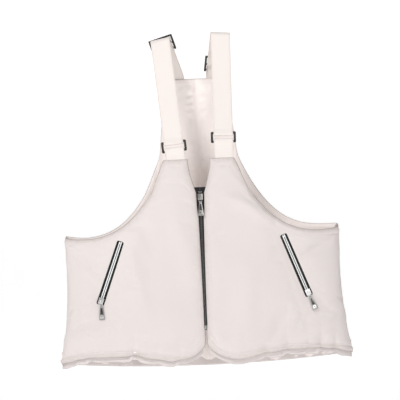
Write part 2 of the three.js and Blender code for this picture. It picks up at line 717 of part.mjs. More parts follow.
function addStrap(strap) {
  const { side, glideDrop, endLeg } = strap;
  const front = frontRun(strap);
  const rear = rearRun(strap);
  const centre = ringCentre(strap);
  const barAt = ringHeight / 2 - ringBar / 2;

  const ring = addPiece(`strap_ring_${side}`, rectangularRing(), hardwareFinish);
  ring.applyMatrix4(new THREE.Matrix4().makeBasis(front.across, front.up, front.out).setPosition(centre));

  const tabLoop = barLoop(centre, front, -barAt, -1, tabLoopRoom);
  const sewnIn = (out) => ({
    middle: front.base.clone().addScaledVector(front.out, out).add(new THREE.Vector3(0, 0, -strapSewnIn)),
    across: front.across,
  });
  addPiece(`strap_tab_${side}`,
    webbing([sewnIn(plyPitch / 2), ...tabLoop, sewnIn(-plyPitch / 2)].reverse()), webbingFinish);

  // From the bib up the rear run, over the fold and down the front, as the outer ply.
  const outerPly = [
    { middle: rear.bib.clone().add(new THREE.Vector3(0, 1, -strapSewnIn)), across: rear.across },
    { middle: rear.bib.clone(), across: rear.across },
  ];
  const rearLength = rear.foldEnd.distanceTo(rear.bib);
  const glideAt = rearLength - glideDrop;
  const returnStart = glideAt + endLeg + endLegClear;
  for (const along of [rearLength * 0.5, rearLength - 1]) {
    outerPly.push({ middle: rear.bib.clone().addScaledVector(rear.up, along), across: rear.across });
  }
  const { fold } = strapPath(strap);
  const foldStops = [];
  for (let step = 1; step <= foldSteps; step++) foldStops.push(fold(step / foldSteps));
  outerPly.push(...foldStops);

  // The inner ply follows it back, one pitch inside.
  const inner = (stops) => stops.map((stop, i) => {
    const from = stops[Math.max(i - 1, 0)].middle;
    const to = stops[Math.min(i + 1, stops.length - 1)].middle;
    const out = to.clone().sub(from).normalize().cross(stop.across).normalize();
    return { middle: stop.middle.clone().addScaledVector(out, -plyPitch), across: stop.across };
  });
  const returnLow = { middle: rear.bib.clone().addScaledVector(rear.up, returnStart), across: rear.across };
  const returnHigh = { middle: rear.foldEnd.clone().addScaledVector(rear.up, -1), across: rear.across };
  const shared = returnStart < rearLength - shortestReturn ? [returnLow, returnHigh] : [returnHigh];
  const innerPly = inner([...shared, ...foldStops]).reverse();
  addPiece(`strap_${side}`,
    webbing([...outerPly, ...barLoop(centre, front, barAt, 1, ringLoopRoom), ...innerPly]), webbingFinish);

  const glide = new THREE.Group();
  const glideMiddle = rear.bib.clone().addScaledVector(rear.up, glideAt);
  const glideMatrix = new THREE.Matrix4().makeBasis(
    rear.across.clone().negate(), rear.up, rear.out).setPosition(glideMiddle);
  glideMatrix.decompose(glide.position, glide.quaternion, glide.scale);
  vest.add(glide);
  addPiece(`tri_glide_${side}`, triGlide(), hardwareFinish, glide);
  addPiece(`strap_end_${side}`, strapEnd(endLeg), webbingFinish, glide);
}

// The sewn end of the webbing round a tri-glide's centre bar, in the tri-glide's frame.
function strapEnd(leg) {
  const across = new THREE.Vector3(-1, 0, 0);
  const near = -plyPitch;
  const barMiddle = -webbingThickness / 2 - plyGap - plyPitch - glideBarThickness / 2;
  const radius = near - barMiddle;
  const turnAt = -glideBar / 2 + glideBarEase;
  const stop = (out, along) => ({ middle: new THREE.Vector3(0, along, out), across });
  const stops = [stop(near, leg)];
  for (let step = 0; step <= 6; step++) {
    const turn = Math.PI * step / 6;
    stops.push(stop(barMiddle + radius * Math.cos(turn), turnAt - radius * Math.sin(turn)));
  }
  stops.push(stop(barMiddle - radius, glideBar / 2 + strapEndTail));
  if (leg > longLeg) stops.push(stop(near - plyPitch, leg * 0.45), stop(near - plyPitch, leg * 0.9));
  return webbing(stops.reverse());
}

for (const [side, sign] of [['right', -1], ['left', 1]]) {
  addFrontPanel(side, sign);
  addPocket(side, sign);
}
addBackPanel();
addCentreZip();
straps.forEach(addStrap);

const shoulderRest = straps.reduce((sum, strap) => sum + strap.topZ, 0) / straps.length
  - webbingThickness * 2 - plyGap;
vest.position.z = -shoulderRest;

export default group;
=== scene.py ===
import json
import math
import bpy
import bmesh
from mathutils import Vector, Matrix, noise
from mathutils.bvhtree import BVHTree
from mathutils.kdtree import KDTree


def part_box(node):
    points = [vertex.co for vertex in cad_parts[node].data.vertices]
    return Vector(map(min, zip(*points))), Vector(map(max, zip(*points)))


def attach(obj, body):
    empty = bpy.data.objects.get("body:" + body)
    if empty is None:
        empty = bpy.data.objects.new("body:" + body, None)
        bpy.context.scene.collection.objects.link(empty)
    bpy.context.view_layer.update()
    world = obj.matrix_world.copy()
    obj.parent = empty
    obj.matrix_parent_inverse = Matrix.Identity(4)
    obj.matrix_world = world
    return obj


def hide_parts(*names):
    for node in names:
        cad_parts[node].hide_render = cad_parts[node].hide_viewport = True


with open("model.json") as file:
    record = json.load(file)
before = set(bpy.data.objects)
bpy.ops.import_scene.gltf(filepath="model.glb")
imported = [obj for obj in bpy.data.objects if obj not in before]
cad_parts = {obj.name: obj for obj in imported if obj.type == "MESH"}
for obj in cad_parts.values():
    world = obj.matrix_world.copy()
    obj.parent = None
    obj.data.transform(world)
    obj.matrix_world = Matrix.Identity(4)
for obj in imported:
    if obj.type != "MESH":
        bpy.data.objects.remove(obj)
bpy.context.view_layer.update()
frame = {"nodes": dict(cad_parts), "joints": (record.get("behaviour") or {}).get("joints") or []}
scene = bpy.context.scene
rootBody = "vest"
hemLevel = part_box("back_shell")[0].z      # lowest point of the back hem

# camera, level with the middle of the vest and rolled a little
cameraSetup = {"distance": 7.0, "lens": 324, "lookX": -0.0007, "lookAboveHem": 0.3258,
               "planeY": -0.05, "rollDegrees": 2.5}


def addCamera():
    data = bpy.data.cameras.new("viewCamera")
    data.lens = cameraSetup["lens"]
    data.clip_end = 50
    cam = bpy.data.objects.new("viewCamera", data)
    scene.collection.objects.link(cam)
    height = hemLevel + cameraSetup["lookAboveHem"]
    cam.location = (cameraSetup["lookX"], cameraSetup["planeY"] - cameraSetup["distance"], height)
    roll = Matrix.Rotation(-math.radians(cameraSetup["rollDegrees"]), 4, "Z")
    cam.rotation_euler = (Matrix.Rotation(math.pi / 2, 4, "X") @ roll).to_euler()
    scene.camera = cam


addCamera()
print("camera set")

# Shader groups


def newGroup(name, inputs, outputs):
    group = bpy.data.node_groups.new(name, "ShaderNodeTree")
    for label, kind, value in inputs:
        socket = group.interface.new_socket(label, in_out="INPUT", socket_type=kind)
        if value is not None:
            socket.default_value = value
    for label, kind in outputs:
        group.interface.new_socket(label, in_out="OUTPUT", socket_type=kind)
    return group, group.nodes.new("NodeGroupInput"), group.nodes.new("NodeGroupOutput")


def mathNode(tree, operation, first, second=None, third=None):
    node = tree.nodes.new("ShaderNodeMath")
    node.operation = operation
    for slotIndex, value in enumerate((first, second, third)):
        if value is None:
            continue
        if isinstance(value, (int, float)):
            node.inputs[slotIndex].default_value = value
        else:
            tree.links.new(value, node.inputs[slotIndex])
    return node.outputs[0]


def mixColour(tree, factor, first, second):
    node = tree.nodes.new("ShaderNodeMix")
    node.data_type = "RGBA"
    links = {0: factor, 6: first, 7: second}
    for slotIndex, value in links.items():
        if isinstance(value, (int, float, tuple)):
            node.inputs[slotIndex].default_value = value
        else:
            tree.links.new(value, node.inputs[slotIndex])
    return node.outputs[2]


def makeWeaveGroup():
    # plain weave: two crossed sets of rounded threads, over and under in turn
    group, source, out = newGroup("plainWeave", [
        ("Vector", "NodeSocketVector", None), ("Pitch", "NodeSocketFloat", 0.0006),
        ("Slub", "NodeSocketFloat", 0.35)],
        [("Height", "NodeSocketFloat"), ("Shade", "NodeSocketFloat")])
    split = group.nodes.new("ShaderNodeSeparateXYZ")
    group.links.new(source.outputs["Vector"], split.inputs[0])
    turn = mathNode(group, "DIVIDE", math.pi, source.outputs["Pitch"])
    across = mathNode(group, "MULTIPLY", split.outputs[0], turn)
    along = mathNode(group, "MULTIPLY", split.outputs[1], turn)
    warp = mathNode(group, "ABSOLUTE", mathNode(group, "SINE", across))
    weft = mathNode(group, "ABSOLUTE", mathNode(group, "SINE", along))
    over = mathNode(group, "MULTIPLY", mathNode(group, "COSINE", across), mathNode(group, "COSINE", along))
    overMask = mathNode(group, "MULTIPLY_ADD", over, 0.5, 0.5)
    upper = mathNode(group, "MULTIPLY", warp, overMask)
    lower = mathNode(group, "MULTIPLY", weft, mathNode(group, "SUBTRACT", 1.0, overMask))
    height = mathNode(group, "ADD", upper, lower)
    slub = group.nodes.new("ShaderNodeTexNoise")
    slub.inputs["Scale"].default_value = 900
    slub.inputs["Detail"].default_value = 2
    stretch = group.nodes.new("ShaderNodeVectorMath")
    stretch.operation = "MULTIPLY"
    stretch.inputs[1].default_value = (1, 0.15, 1)
    group.links.new(source.outputs["Vector"], stretch.inputs[0])
    group.links.new(stretch.outputs[0], slub.inputs["Vector"])
    uneven = mathNode(group, "MULTIPLY", slub.outputs["Fac"], source.outputs["Slub"])
    total = mathNode(group, "ADD", height, uneven)
    group.links.new(total, out.inputs["Height"])
    group.links.new(mathNode(group, "MULTIPLY_ADD", total, 0.35, 0.6), out.inputs["Shade"])
    return group


def makeRibGroup():
    # narrow-woven band: ribs that run along it, crossed by fine picks, with a firmer edge cord
    group, source, out = newGroup("wovenBand", [
        ("Vector", "NodeSocketVector", None), ("Rib", "NodeSocketFloat", 0.0013),
        ("Pick", "NodeSocketFloat", 0.0009)], [("Height", "NodeSocketFloat"), ("Shade", "NodeSocketFloat")])
    split = group.nodes.new("ShaderNodeSeparateXYZ")
    group.links.new(source.outputs["Vector"], split.inputs[0])
    acrossTurn = mathNode(group, "DIVIDE", math.pi, source.outputs["Rib"])
    alongTurn = mathNode(group, "DIVIDE", math.pi, source.outputs["Pick"])
    across = mathNode(group, "MULTIPLY", split.outputs[0], acrossTurn)
    lean = mathNode(group, "MULTIPLY", across, 0.5)
    along = mathNode(group, "ADD", mathNode(group, "MULTIPLY", split.outputs[1], alongTurn), lean)
    rib = mathNode(group, "ABSOLUTE", mathNode(group, "SINE", across))
    pick = mathNode(group, "ABSOLUTE", mathNode(group, "SINE", along))
    height = mathNode(group, "MULTIPLY_ADD", pick, 0.45, mathNode(group, "MULTIPLY", rib, 0.55))
    group.links.new(height, out.inputs["Height"])
    group.links.new(mathNode(group, "MULTIPLY_ADD", height, 0.3, 0.7), out.inputs["Shade"])
    return group


def makeWearGroup():
    # broad unevenness of tone, and soft dirt or rubbing near a seam or an edge
    group, source, out = newGroup("toneAndWear", [
        ("Vector", "NodeSocketVector", None), ("Edge", "NodeSocketFloat", 0.0),
        ("Scale", "NodeSocketFloat", 9.0)],
        [("Tone", "NodeSocketFloat"), ("Wear", "NodeSocketFloat")])
    broad = group.nodes.new("ShaderNodeTexNoise")
    broad.inputs["Detail"].default_value = 4
    group.links.new(source.outputs["Vector"], broad.inputs["Vector"])
    group.links.new(source.outputs["Scale"], broad.inputs["Scale"])
    fine = group.nodes.new("ShaderNodeTexNoise")
    fine.inputs["Detail"].default_value = 5
    group.links.new(source.outputs["Vector"], fine.inputs["Vector"])
    group.links.new(mathNode(group, "MULTIPLY", source.outputs["Scale"], 14.0), fine.inputs["Scale"])
    group.links.new(broad.outputs["Fac"], out.inputs["Tone"])
    patchy = mathNode(group, "MULTIPLY", source.outputs["Edge"], fine.outputs["Fac"])
    group.links.new(mathNode(group, "MULTIPLY", patchy, 1.3), out.inputs["Wear"])
    return group


weaveGroup = makeWeaveGroup()
ribGroup = makeRibGroup()
wearGroup = makeWearGroup()


def startMaterial(name):
    material = bpy.data.materials.new(name)
    material.use_nodes = True
    tree = material.node_tree
    return material, tree, tree.nodes["Principled BSDF"]


def placeGroup(tree, group, vector, **values):
    node = tree.nodes.new("ShaderNodeGroup")
    node.node_tree = group
    tree.links.new(vector, node.inputs["Vector"])
    for label, value in values.items():
        if isinstance(value, (int, float)):
            node.inputs[label].default_value = value
        else:
            tree.links.new(value, node.inputs[label])
    return node


def addBump(tree, shader, height, distance, strength=1.0):
    bump = tree.nodes.new("ShaderNodeBump")
    bump.inputs["Strength"].default_value = strength
    bump.inputs["Distance"].default_value = distance
    tree.links.new(height, bump.inputs["Height"])
    tree.links.new(bump.outputs[0], shader.inputs["Normal"])


# the shaded fold where a panel's two faces are sewn together
creaseShade = (0.20, 0.165, 0.15, 1)


def clothMaterial(name, light, dark, soiledAndShade, pattern, sheen=0.25, roughness=0.85, bump=0.00012, **sizes):
    material, tree, shader = startMaterial(name)
    uv = tree.nodes.new("ShaderNodeUVMap")
    uv.uv_map = "cloth"
    place = tree.nodes.new("ShaderNodeTexCoord").outputs["Object"]
    edge = tree.nodes.new("ShaderNodeAttribute")
    edge.attribute_name = "seam"
    woven = placeGroup(tree, pattern, uv.outputs[0], **sizes)
    tone = placeGroup(tree, wearGroup, place, Edge=edge.outputs["Fac"], Scale=9.0)
    base = mixColour(tree, tone.outputs["Tone"], dark, light)
    worn = mixColour(tree, tone.outputs["Wear"], base, soiledAndShade)
    # painted shade: the weave's low threads are darkened towards the soiled colour, together with the yarn's
    # real slub
    thread = mixColour(tree, woven.outputs["Shade"], soiledAndShade, worn)
    crease = tree.nodes.new("ShaderNodeAttribute")
    crease.attribute_name = "crease"
    shaded = mixColour(tree, mathNode(tree, "MULTIPLY", crease.outputs["Fac"], 0.8), thread, creaseShade)
    tree.links.new(shaded, shader.inputs["Base Color"])
    rough = mathNode(tree, "MULTIPLY_ADD", woven.outputs["Height"], -0.12, roughness + 0.06)
    tree.links.new(rough, shader.inputs["Roughness"])
    shader.inputs["Sheen Weight"].default_value = sheen
    shader.inputs["Sheen Roughness"].default_value = 0.5
    shader.inputs["Specular IOR Level"].default_value = 0.25
    addBump(tree, shader, woven.outputs["Height"], bump)
    return material


def hardMaterial(name, colour, scuffed, roughness, metallic=0.0, coat=0.0, grain=600, bump=0.00003):
    material, tree, shader = startMaterial(name)
    place = tree.nodes.new("ShaderNodeTexCoord").outputs["Object"]
    tone = placeGroup(tree, wearGroup, place, Edge=1.0, Scale=60.0)
    base = mixColour(tree, mathNode(tree, "MULTIPLY", tone.outputs["Wear"], 0.35), colour, scuffed)
    tree.links.new(base, shader.inputs["Base Color"])
    fine = tree.nodes.new("ShaderNodeTexNoise")
    fine.inputs["Scale"].default_value = grain
    fine.inputs["Detail"].default_value = 4
    tree.links.new(place, fine.inputs["Vector"])
    spread = mathNode(tree, "MULTIPLY_ADD", fine.outputs["Fac"], 0.22, roughness - 0.1)
    uneven = mathNode(tree, "MULTIPLY_ADD", tone.outputs["Tone"], 0.1, spread)
    tree.links.new(uneven, shader.inputs["Roughness"])
    shader.inputs["Metallic"].default_value = metallic
    shader.inputs["Coat Weight"].default_value = coat
    addBump(tree, shader, fine.outputs["Fac"], bump)
    return material


shellCloth = clothMaterial("shellCloth", (0.725, 0.668, 0.655, 1), (0.665, 0.608, 0.592, 1),
                           (0.55, 0.485, 0.46, 1), weaveGroup, Pitch=0.0007, Slub=0.4)
# painted light: the lining is given a lighter colour than the shell, to lift the shade that falls on the
# inside of the vest
liningClothPaintedLight = clothMaterial("liningClothPaintedLight", (0.97, 0.90, 0.87, 1), (0.93, 0.86, 0.83, 1),
                            (0.83, 0.75, 0.72, 1), weaveGroup, roughness=0.7, sheen=0.15,
                            Pitch=0.0005, Slub=0.2)
webbingCloth = clothMaterial("webbingCloth", (0.80, 0.745, 0.715, 1), (0.765, 0.705, 0.67, 1),
                             (0.66, 0.58, 0.54, 1), ribGroup, bump=0.00018, sheen=0.2)
tapeCloth = clothMaterial("tapeCloth", (0.016, 0.016, 0.018, 1), (0.009, 0.009, 0.010, 1),
                          (0.03, 0.03, 0.032, 1), ribGroup, sheen=0.05, Rib=0.0006, Pick=0.0008)
threadCloth = clothMaterial("threadCloth", (0.86, 0.80, 0.77, 1), (0.80, 0.73, 0.70, 1),
                            (0.62, 0.54, 0.5, 1), ribGroup, bump=0.00005, Rib=0.0003, Pick=0.0004)
blackPlastic = hardMaterial("blackPlastic", (0.010, 0.009, 0.0085, 1), (0.05, 0.048, 0.045, 1), 0.36)
blackEnamel = hardMaterial("blackEnamel", (0.008, 0.008, 0.009, 1), (0.035, 0.035, 0.036, 1), 0.24, coat=0.5)
blackNylon = hardMaterial("blackNylon", (0.014, 0.014, 0.015, 1), (0.05, 0.05, 0.052, 1), 0.42)
gunMetal = hardMaterial("gunMetal", (0.30, 0.29, 0.28, 1), (0.4, 0.39, 0.38, 1), 0.25, metallic=1.0)
brightNickel = hardMaterial("brightNickel", (0.74, 0.735, 0.73, 1), (0.42, 0.41, 0.40, 1), 0.26,
                            metallic=1.0)
silverElements = hardMaterial("silverElements", (0.90, 0.90, 0.90, 1), (0.78, 0.78, 0.78, 1), 0.42,
                              metallic=0.35)
print("materials made")

# Mesh helpers


def finishPiece(name, bm, material, body, nodes=(), materialSlot=None, smooth=True):
    mesh = bpy.data.meshes.new(name)
    bm.to_mesh(mesh)
    bm.free()
    piece = bpy.data.objects.new(name, mesh)
    scene.collection.objects.link(piece)
    for entry in material if isinstance(material, (list, tuple)) else [material]:
        mesh.materials.append(entry)
    if smooth:
        mesh.polygons.foreach_set("use_smooth", [True] * len(mesh.polygons))
    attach(piece, body)
    if nodes:
        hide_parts(*nodes)
    return piece


def applyModifiers(piece):
    depsgraph = bpy.context.evaluated_depsgraph_get()
    mesh = bpy.data.meshes.new_from_object(piece.evaluated_get(depsgraph), preserve_all_data_layers=True,
                                           depsgraph=depsgraph)
    piece.modifiers.clear()
    piece.data = mesh


def smoothByAngle(piece, degrees):
    mesh = piece.data
    mesh.polygons.foreach_set("use_smooth", [True] * len(mesh.polygons))
    bm = bmesh.new()
    bm.from_mesh(mesh)
    limit = math.radians(degrees)
    for edge in bm.edges:
        edge.smooth = len(edge.link_faces) < 2 or edge.calc_face_angle(0) < limit
    bm.to_mesh(mesh)
    bm.free()


def roundedCopy(name, node, material, body, width, materialSlot, segments=3, flat=1.0):
    # a CAD solid with its sharp edges rounded over
    bm = bmesh.new()
    bm.from_mesh(frame["nodes"][node].data)
    bmesh.ops.remove_doubles(bm, verts=bm.verts, dist=0.00001)
    bmesh.ops.dissolve_limit(bm, angle_limit=math.radians(flat), verts=bm.verts, edges=bm.edges)
    sharp = [e for e in bm.edges if len(e.link_faces) == 2 and e.calc_face_angle(0) > math.radians(35)]
    bmesh.ops.bevel(bm, geom=sharp, offset=width, offset_type="OFFSET", affect="EDGES", segments=segments,
                    profile=0.5, material=-1, clamp_overlap=True)
    piece = finishPiece(name, bm, material, body, [node], materialSlot)
    smoothByAngle(piece, 40)
    return piece


def clamp01(t):
    return min(max(t, 0.0), 1.0)


def mix(a, b, t):
    return a + (b - a) * t


def smoothStep(t):
    t = clamp01(t)
    return t * t * (3 - 2 * t)


# The vest's surface
# Lengths in metres, heights above the lowest point of the back hem. The sizes are the model's own.
body = {
    "hemHalf": 0.289, "chestHalf": 0.266, "chestHeight": 0.248, "frontDepth": 0.055, "backDepth": 0.050,
    "bibDepth": 0.028, "power": 2.5, "panelTop": 0.407, "baseInner": 0.022, "baseOuter": 0.069,
    "zipBottom": 0.082, "zipLength": 0.258, "edgeGapBottom": 0.0022, "edgeGapTop": 0.0072,
    "frontHem": 0.012, "cornerRadius": 0.070, "cornerRise": 0.046, "hemArch": 0.012, "hemSide": 0.004,
    "armholeLow": 0.259, "armholeLowX": 0.232, "armholePower": 2.35, "armholeCorner": 0.004,
    "bibTop": 0.565, "bibHalf": 0.060, "bibFootHalf": 0.075, "bibFoot": 0.415, "backLow": 0.270,
    "backLowX": 0.248, "backPower": 2.9, "backHemSide": 0.015,
}


# half width at the chest and the hem, and how late the sides flare, with the padding's swell at
# the sides and without it
fullSides = (0.271, 0.294, 3.0)
plainSides = (0.266, 0.289, 2.0)


def halfWidthAt(z, sides=fullSides):
    return mix(sides[0], sides[1], (1 - clamp01(z / body["chestHeight"])) ** sides[2])


def backDepthAt(z):
    share = clamp01((z - body["chestHeight"]) / (body["bibTop"] - body["chestHeight"]))
    return mix(body["backDepth"], body["bibDepth"], share)


def surfacePoint(x, z, depth, facing, sides=fullSides):
    width = halfWidthAt(z, sides)
    reach = body["frontDepth"] if facing < 0 else backDepthAt(z)
    across = min(abs(x) / width, 1)
    along = (1 - across ** body["power"]) ** (1 / body["power"])
    normal = Vector((math.copysign(across ** 1.5, x) / width, facing * along ** 1.5 / reach)).normalized()
    y = facing * max(along * reach - abs(normal.y) * depth, 0.0002)
    return Vector((x - normal.x * depth, y, z + hemLevel))


def frontEdgeX(z):
    zipTop = body["zipBottom"] + body["zipLength"]
    if z < zipTop:
        return mix(body["edgeGapBottom"], body["edgeGapTop"], clamp01(z / zipTop))
    rise = clamp01((z - zipTop) / (body["panelTop"] - zipTop))
    return mix(body["edgeGapTop"], body["baseInner"], math.sin(rise * math.pi / 2))


def frontTopZ(x):
    if x <= body["baseOuter"]:
        return body["panelTop"]
    if x > body["armholeLowX"]:
        past = (x - body["armholeLowX"]) / (body["chestHalf"] - body["armholeLowX"])
        return body["armholeLow"] + body["armholeCorner"] * clamp01(past) ** 2
    back = (body["armholeLowX"] - x) / (body["armholeLowX"] - body["baseOuter"])
    return body["armholeLow"] + (body["panelTop"] - body["armholeLow"]) * back ** body["armholePower"]


def frontHemZ(x):
    if x < body["cornerRadius"]:
        inward = (body["cornerRadius"] - x) / body["cornerRadius"]
        return body["frontHem"] + body["cornerRise"] * (1 - math.sqrt(max(1 - inward ** 2, 0)))
    out = (x - body["cornerRadius"]) / (body["hemHalf"] - body["cornerRadius"])
    return body["frontHem"] + body["hemSide"] * out + body["hemArch"] * math.sin(math.pi * out)


def backTopZ(x):
    x = abs(x)
    if x <= body["bibHalf"]:
        return body["bibTop"]
    if x <= body["bibFootHalf"]:
        down = (x - body["bibHalf"]) / (body["bibFootHalf"] - body["bibHalf"])
        return mix(body["bibTop"], body["bibFoot"], down)
    back = clamp01((body["backLowX"] - x) / (body["backLowX"] - body["bibFootHalf"]))
    return body["backLow"] + (body["bibFoot"] - body["backLow"]) * back ** body["backPower"]


def backHemZ(x):
    return body["backHemSide"] * (x / body["hemHalf"]) ** 2


def pleatRise(x, width):
    return sum(height * math.exp(-((x - at) / width) ** 2) for at, height in hemPleats.items())


def frontPlace(sign, share, rise, depth):
    topX = mix(body["baseInner"], body["chestHalf"], share)
    footX = mix(body["edgeGapBottom"], body["hemHalf"], share)
    foot = frontHemZ(footX) + 0.0022 * pleatRise(sign * footX, 0.013)
    z = mix(foot, frontTopZ(topX), rise)
    # the padded edges swell towards each other below the slider
    edge = frontEdgeX(z) - 0.0012 - 0.0020 * smoothStep((0.318 - z) / 0.03)
    edge = max(edge, 0.0006)
    x = mix(edge, halfWidthAt(z), share)
    return sign * x, z, surfacePoint(sign * x, z, depth, -1)


def backPlace(share, rise, depth):
    head = backTopZ(share * body["chestHalf"])
    if share < 0:
        # this armhole hangs a little lower than the other
        head -= 0.009 * smoothStep((-share - 0.30) / 0.12) * smoothStep((1.12 + share) / 0.3)
    z = mix(backHemZ(share * body["hemHalf"]), head, rise)
    x = share * halfWidthAt(z)
    return x, z, surfacePoint(x, z, depth, 1)


# Padded panels
padding = {"halfThickness": 0.0046, "edgeRoll": 0.011, "pressure": 4.0, "cap": 0.0024, "frames": 20,
           "flatNear": 0.022}
pocketLine = {"top": (0.160, 0.247), "bottom": (0.204, 0.1315), "pullEnd": (0.211, 0.095),
              "slotTop": 0.0070, "slotBottom": 0.0078, "roomLow": 0.0014, "roomHigh": 0.0055,
              "sink": 0.0018, "sinkWidth": 0.006, "cutFrom": -0.012, "cutDepth": 0.0184}
# where the hem is gathered into small pleats
hemPleats = {-0.252: 1.0, -0.228: 1.3, -0.141: 2.4, -0.095: 0.8, -0.052: 1.2, 0.115: 1.2, 0.157: 1.2,
             0.198: 0.8, 0.224: 1.8, 0.252: 1.3}
# soft folds in each front panel, given for +X: from, to, half width, height
frontFolds = {
    -1: [((0.150, 0.262), (0.118, 0.120), 0.016, 0.0024), ((0.060, 0.330), (0.020, 0.190), 0.020, 0.0016),
         ((0.255, 0.235), (0.215, 0.200), 0.012, -0.0020), ((0.270, 0.060), (0.170, 0.090), 0.015, 0.0018),
         ((0.150, 0.045), (0.080, 0.060), 0.014, -0.0016), ((0.120, 0.290), (0.095, 0.230), 0.010, -0.0016)],
    1: [((0.130, 0.285), (0.060, 0.330), 0.013, 0.0022), ((0.255, 0.240), (0.200, 0.215), 0.012, -0.0022),
        ((0.090, 0.180), (0.075, 0.060), 0.020, 0.0016), ((0.265, 0.090), (0.190, 0.060), 0.014, 0.0018),
        ((0.160, 0.100), (0.120, 0.040), 0.013, -0.0016)],
}


def lineDistance(x, z, start, end):
    ax, az = start
    bx, bz = end
    length = (bx - ax) ** 2 + (bz - az) ** 2
    share = clamp01(((x - ax) * (bx - ax) + (z - az) * (bz - az)) / length)
    return math.hypot(x - mix(ax, bx, share), z - mix(az, bz, share)), share


def foldRise(x, z, folds):
    rise = 0.0
    for start, end, width, height in folds:
        away, share = lineDistance(x, z, start, end)
        rise += 2.6 * height * math.exp(-(away / width) ** 2) * math.sin(math.pi * mix(0.15, 0.85, share))
    return rise


def hemBand(x, above):
    # the turned-up hem: a soft roll, a sewn groove above it and the pleats that the sewing draws in
    roll = 0.0012 * math.exp(-((above - 0.0055) / 0.004) ** 2)
    groove = -0.0020 * math.exp(-((above - 0.0115) / 0.0022) ** 2)
    pleats = -0.0026 * pleatRise(x, 0.0055) * math.exp(-above / 0.02)
    return (roll + groove) * smoothStep((abs(x) - 0.045) / 0.04) + pleats


def edgeRoll(away):
    # a soft roll along an edge and the groove of its seam
    roll = math.exp(-((away - 0.006) / 0.004) ** 2)
    groove = math.exp(-((away - 0.013) / 0.0026) ** 2)
    return 0.0016 * roll - 0.0016 * groove


def hemPucker(x, above, amount=0.0016, reach=0.028):
    wave = noise.noise(Vector((x * 62, above * 22, 3.1)))
    wave += 0.5 * noise.noise(Vector((x * 150, above * 40, 8.2)))
    return amount * wave * math.exp(-above / reach)


def slotSink(x, z):
    away, share = lineDistance(abs(x), z, pocketLine["top"], pocketLine["bottom"])
    half = mix(pocketLine["slotTop"], pocketLine["slotBottom"], share)
    return pocketLine["sink"] * math.exp(-(max(away - half, 0) / pocketLine["sinkWidth"]) ** 2)


def paddedGrid(columns, rows, place, relief, spread):
    # an outer and an inner face from one grid, rolled over to meet along the panel's edge
    count = 1500
    rim = [place(spread(i / count), t, 0)[2] for i in range(count + 1) for t in (0.0, 1.0)]
    rim += [place(spread(s), i / count, 0)[2] for i in range(count + 1) for s in (0.0, 1.0)]
    tree = KDTree(len(rim))
    for index, point in enumerate(rim):
        tree.insert(point, index)
    tree.balance()
    bm = bmesh.new()
    uv = bm.loops.layers.uv.new("cloth")
    seam = bm.verts.layers.float.new("seam")
    crease = bm.verts.layers.float.new("crease")
    side = bm.verts.layers.float.new("outerSide")
    bmesh.ops.create_grid(bm, x_segments=columns, y_segments=rows, size=0.5)
    outer = bm.verts[:]
    copied = bmesh.ops.duplicate(bm, geom=bm.verts[:] + bm.edges[:] + bm.faces[:])["geom"]
    inner = [v for v in copied if isinstance(v, bmesh.types.BMVert)]
    innerFaces = [f for f in copied if isinstance(f, bmesh.types.BMFace)]
    bmesh.ops.reverse_faces(bm, faces=innerFaces)
    flat = {}
    half, roll = padding["halfThickness"], padding["edgeRoll"]
    for face, verts in ((0, outer), (1, inner)):
        for v in verts:
            share, rise = spread(v.co.x + 0.5), spreadFront(v.co.y + 0.5)
            x, z, point = place(share, rise, 0)
            away = 0.0 if v.is_boundary else tree.find(point)[2]
            turned = 1 - min(away / roll, 1)
            depth = half * (1 - math.sqrt(max(1 - turned ** 2, 0)))
            flat[v] = (x, z)
            v[seam] = math.exp(-(away / 0.008) ** 2)
            v[crease] = math.exp(-(away / 0.0011) ** 2)
            v[side] = 1.0 - face
            lift = relief(x, z, away, face) * smoothStep(away / 0.006)
            v.co = place(share, rise, depth - lift if face == 0 else 2 * half - depth + lift)[2]
    for face in bm.faces:
        for loop in face.loops:
            loop[uv].uv = flat[loop.vert]
    edgeVerts = [v for v in bm.verts if v.is_boundary]
    bmesh.ops.remove_doubles(bm, verts=edgeVerts, dist=0.00004)
    bmesh.ops.recalc_face_normals(bm, faces=bm.faces)
    return bm


def swell(piece, name):
    # the padding's push, held back along the seams
    mesh = piece.data
    seams = mesh.attributes["seam"].data
    group = piece.vertex_groups.new(name="held")
    for index, value in enumerate(seams):
        hold = value.value * 1.3
        place = mesh.vertices[index].co
        if place.y < 0:
            away, _ = lineDistance(abs(place.x), place.z - hemLevel, pocketLine["top"],
                                   pocketLine["pullEnd"])
            hold = max(hold, 1.15 * math.exp(-(away / padding["flatNear"]) ** 4))
        if hold > 0.3:
            group.add([index], min(hold, 1.0), "REPLACE")
    before = [v.co.copy() for v in mesh.vertices]
    cloth = piece.modifiers.new("swell", "CLOTH")
    settings = cloth.settings
    settings.quality = 5
    settings.mass = 0.15
    settings.tension_stiffness = 12
    settings.compression_stiffness = 12
    settings.bending_stiffness = 0.6
    settings.use_pressure = True
    settings.uniform_pressure_force = padding["pressure"]
    settings.shrink_min = -0.012
    settings.effector_weights.gravity = 0
    settings.vertex_group_mass = "held"
    cloth.collision_settings.use_collision = False
    cloth.point_cache.frame_start = 1
    cloth.point_cache.frame_end = padding["frames"]
    for step in range(1, padding["frames"] + 1):
        scene.frame_set(step)
    applyModifiers(piece)
    cap = padding["cap"]
    for vertex, start in zip(piece.data.vertices, before):
        move = vertex.co - start
        if move.length > 0:
            vertex.co = start + move * (cap * math.tanh(move.length / cap) / move.length)
    scene.frame_set(1)
    print(name, "swelled")


def addSubdivision(piece, levels=1):
    modifier = piece.modifiers.new("smooth", "SUBSURF")
    modifier.levels = levels
    modifier.render_levels = levels


def spreadFront(s):
    # closer together towards both edges
    s = clamp01(s)
    return 0.62 * (1 - math.cos(math.pi * s)) / 2 + 0.38 * s


def spreadBack(s):
    t = clamp01(s) * 2 - 1
    return 0.6 * t + 0.4 * math.sin(t * math.pi / 2)


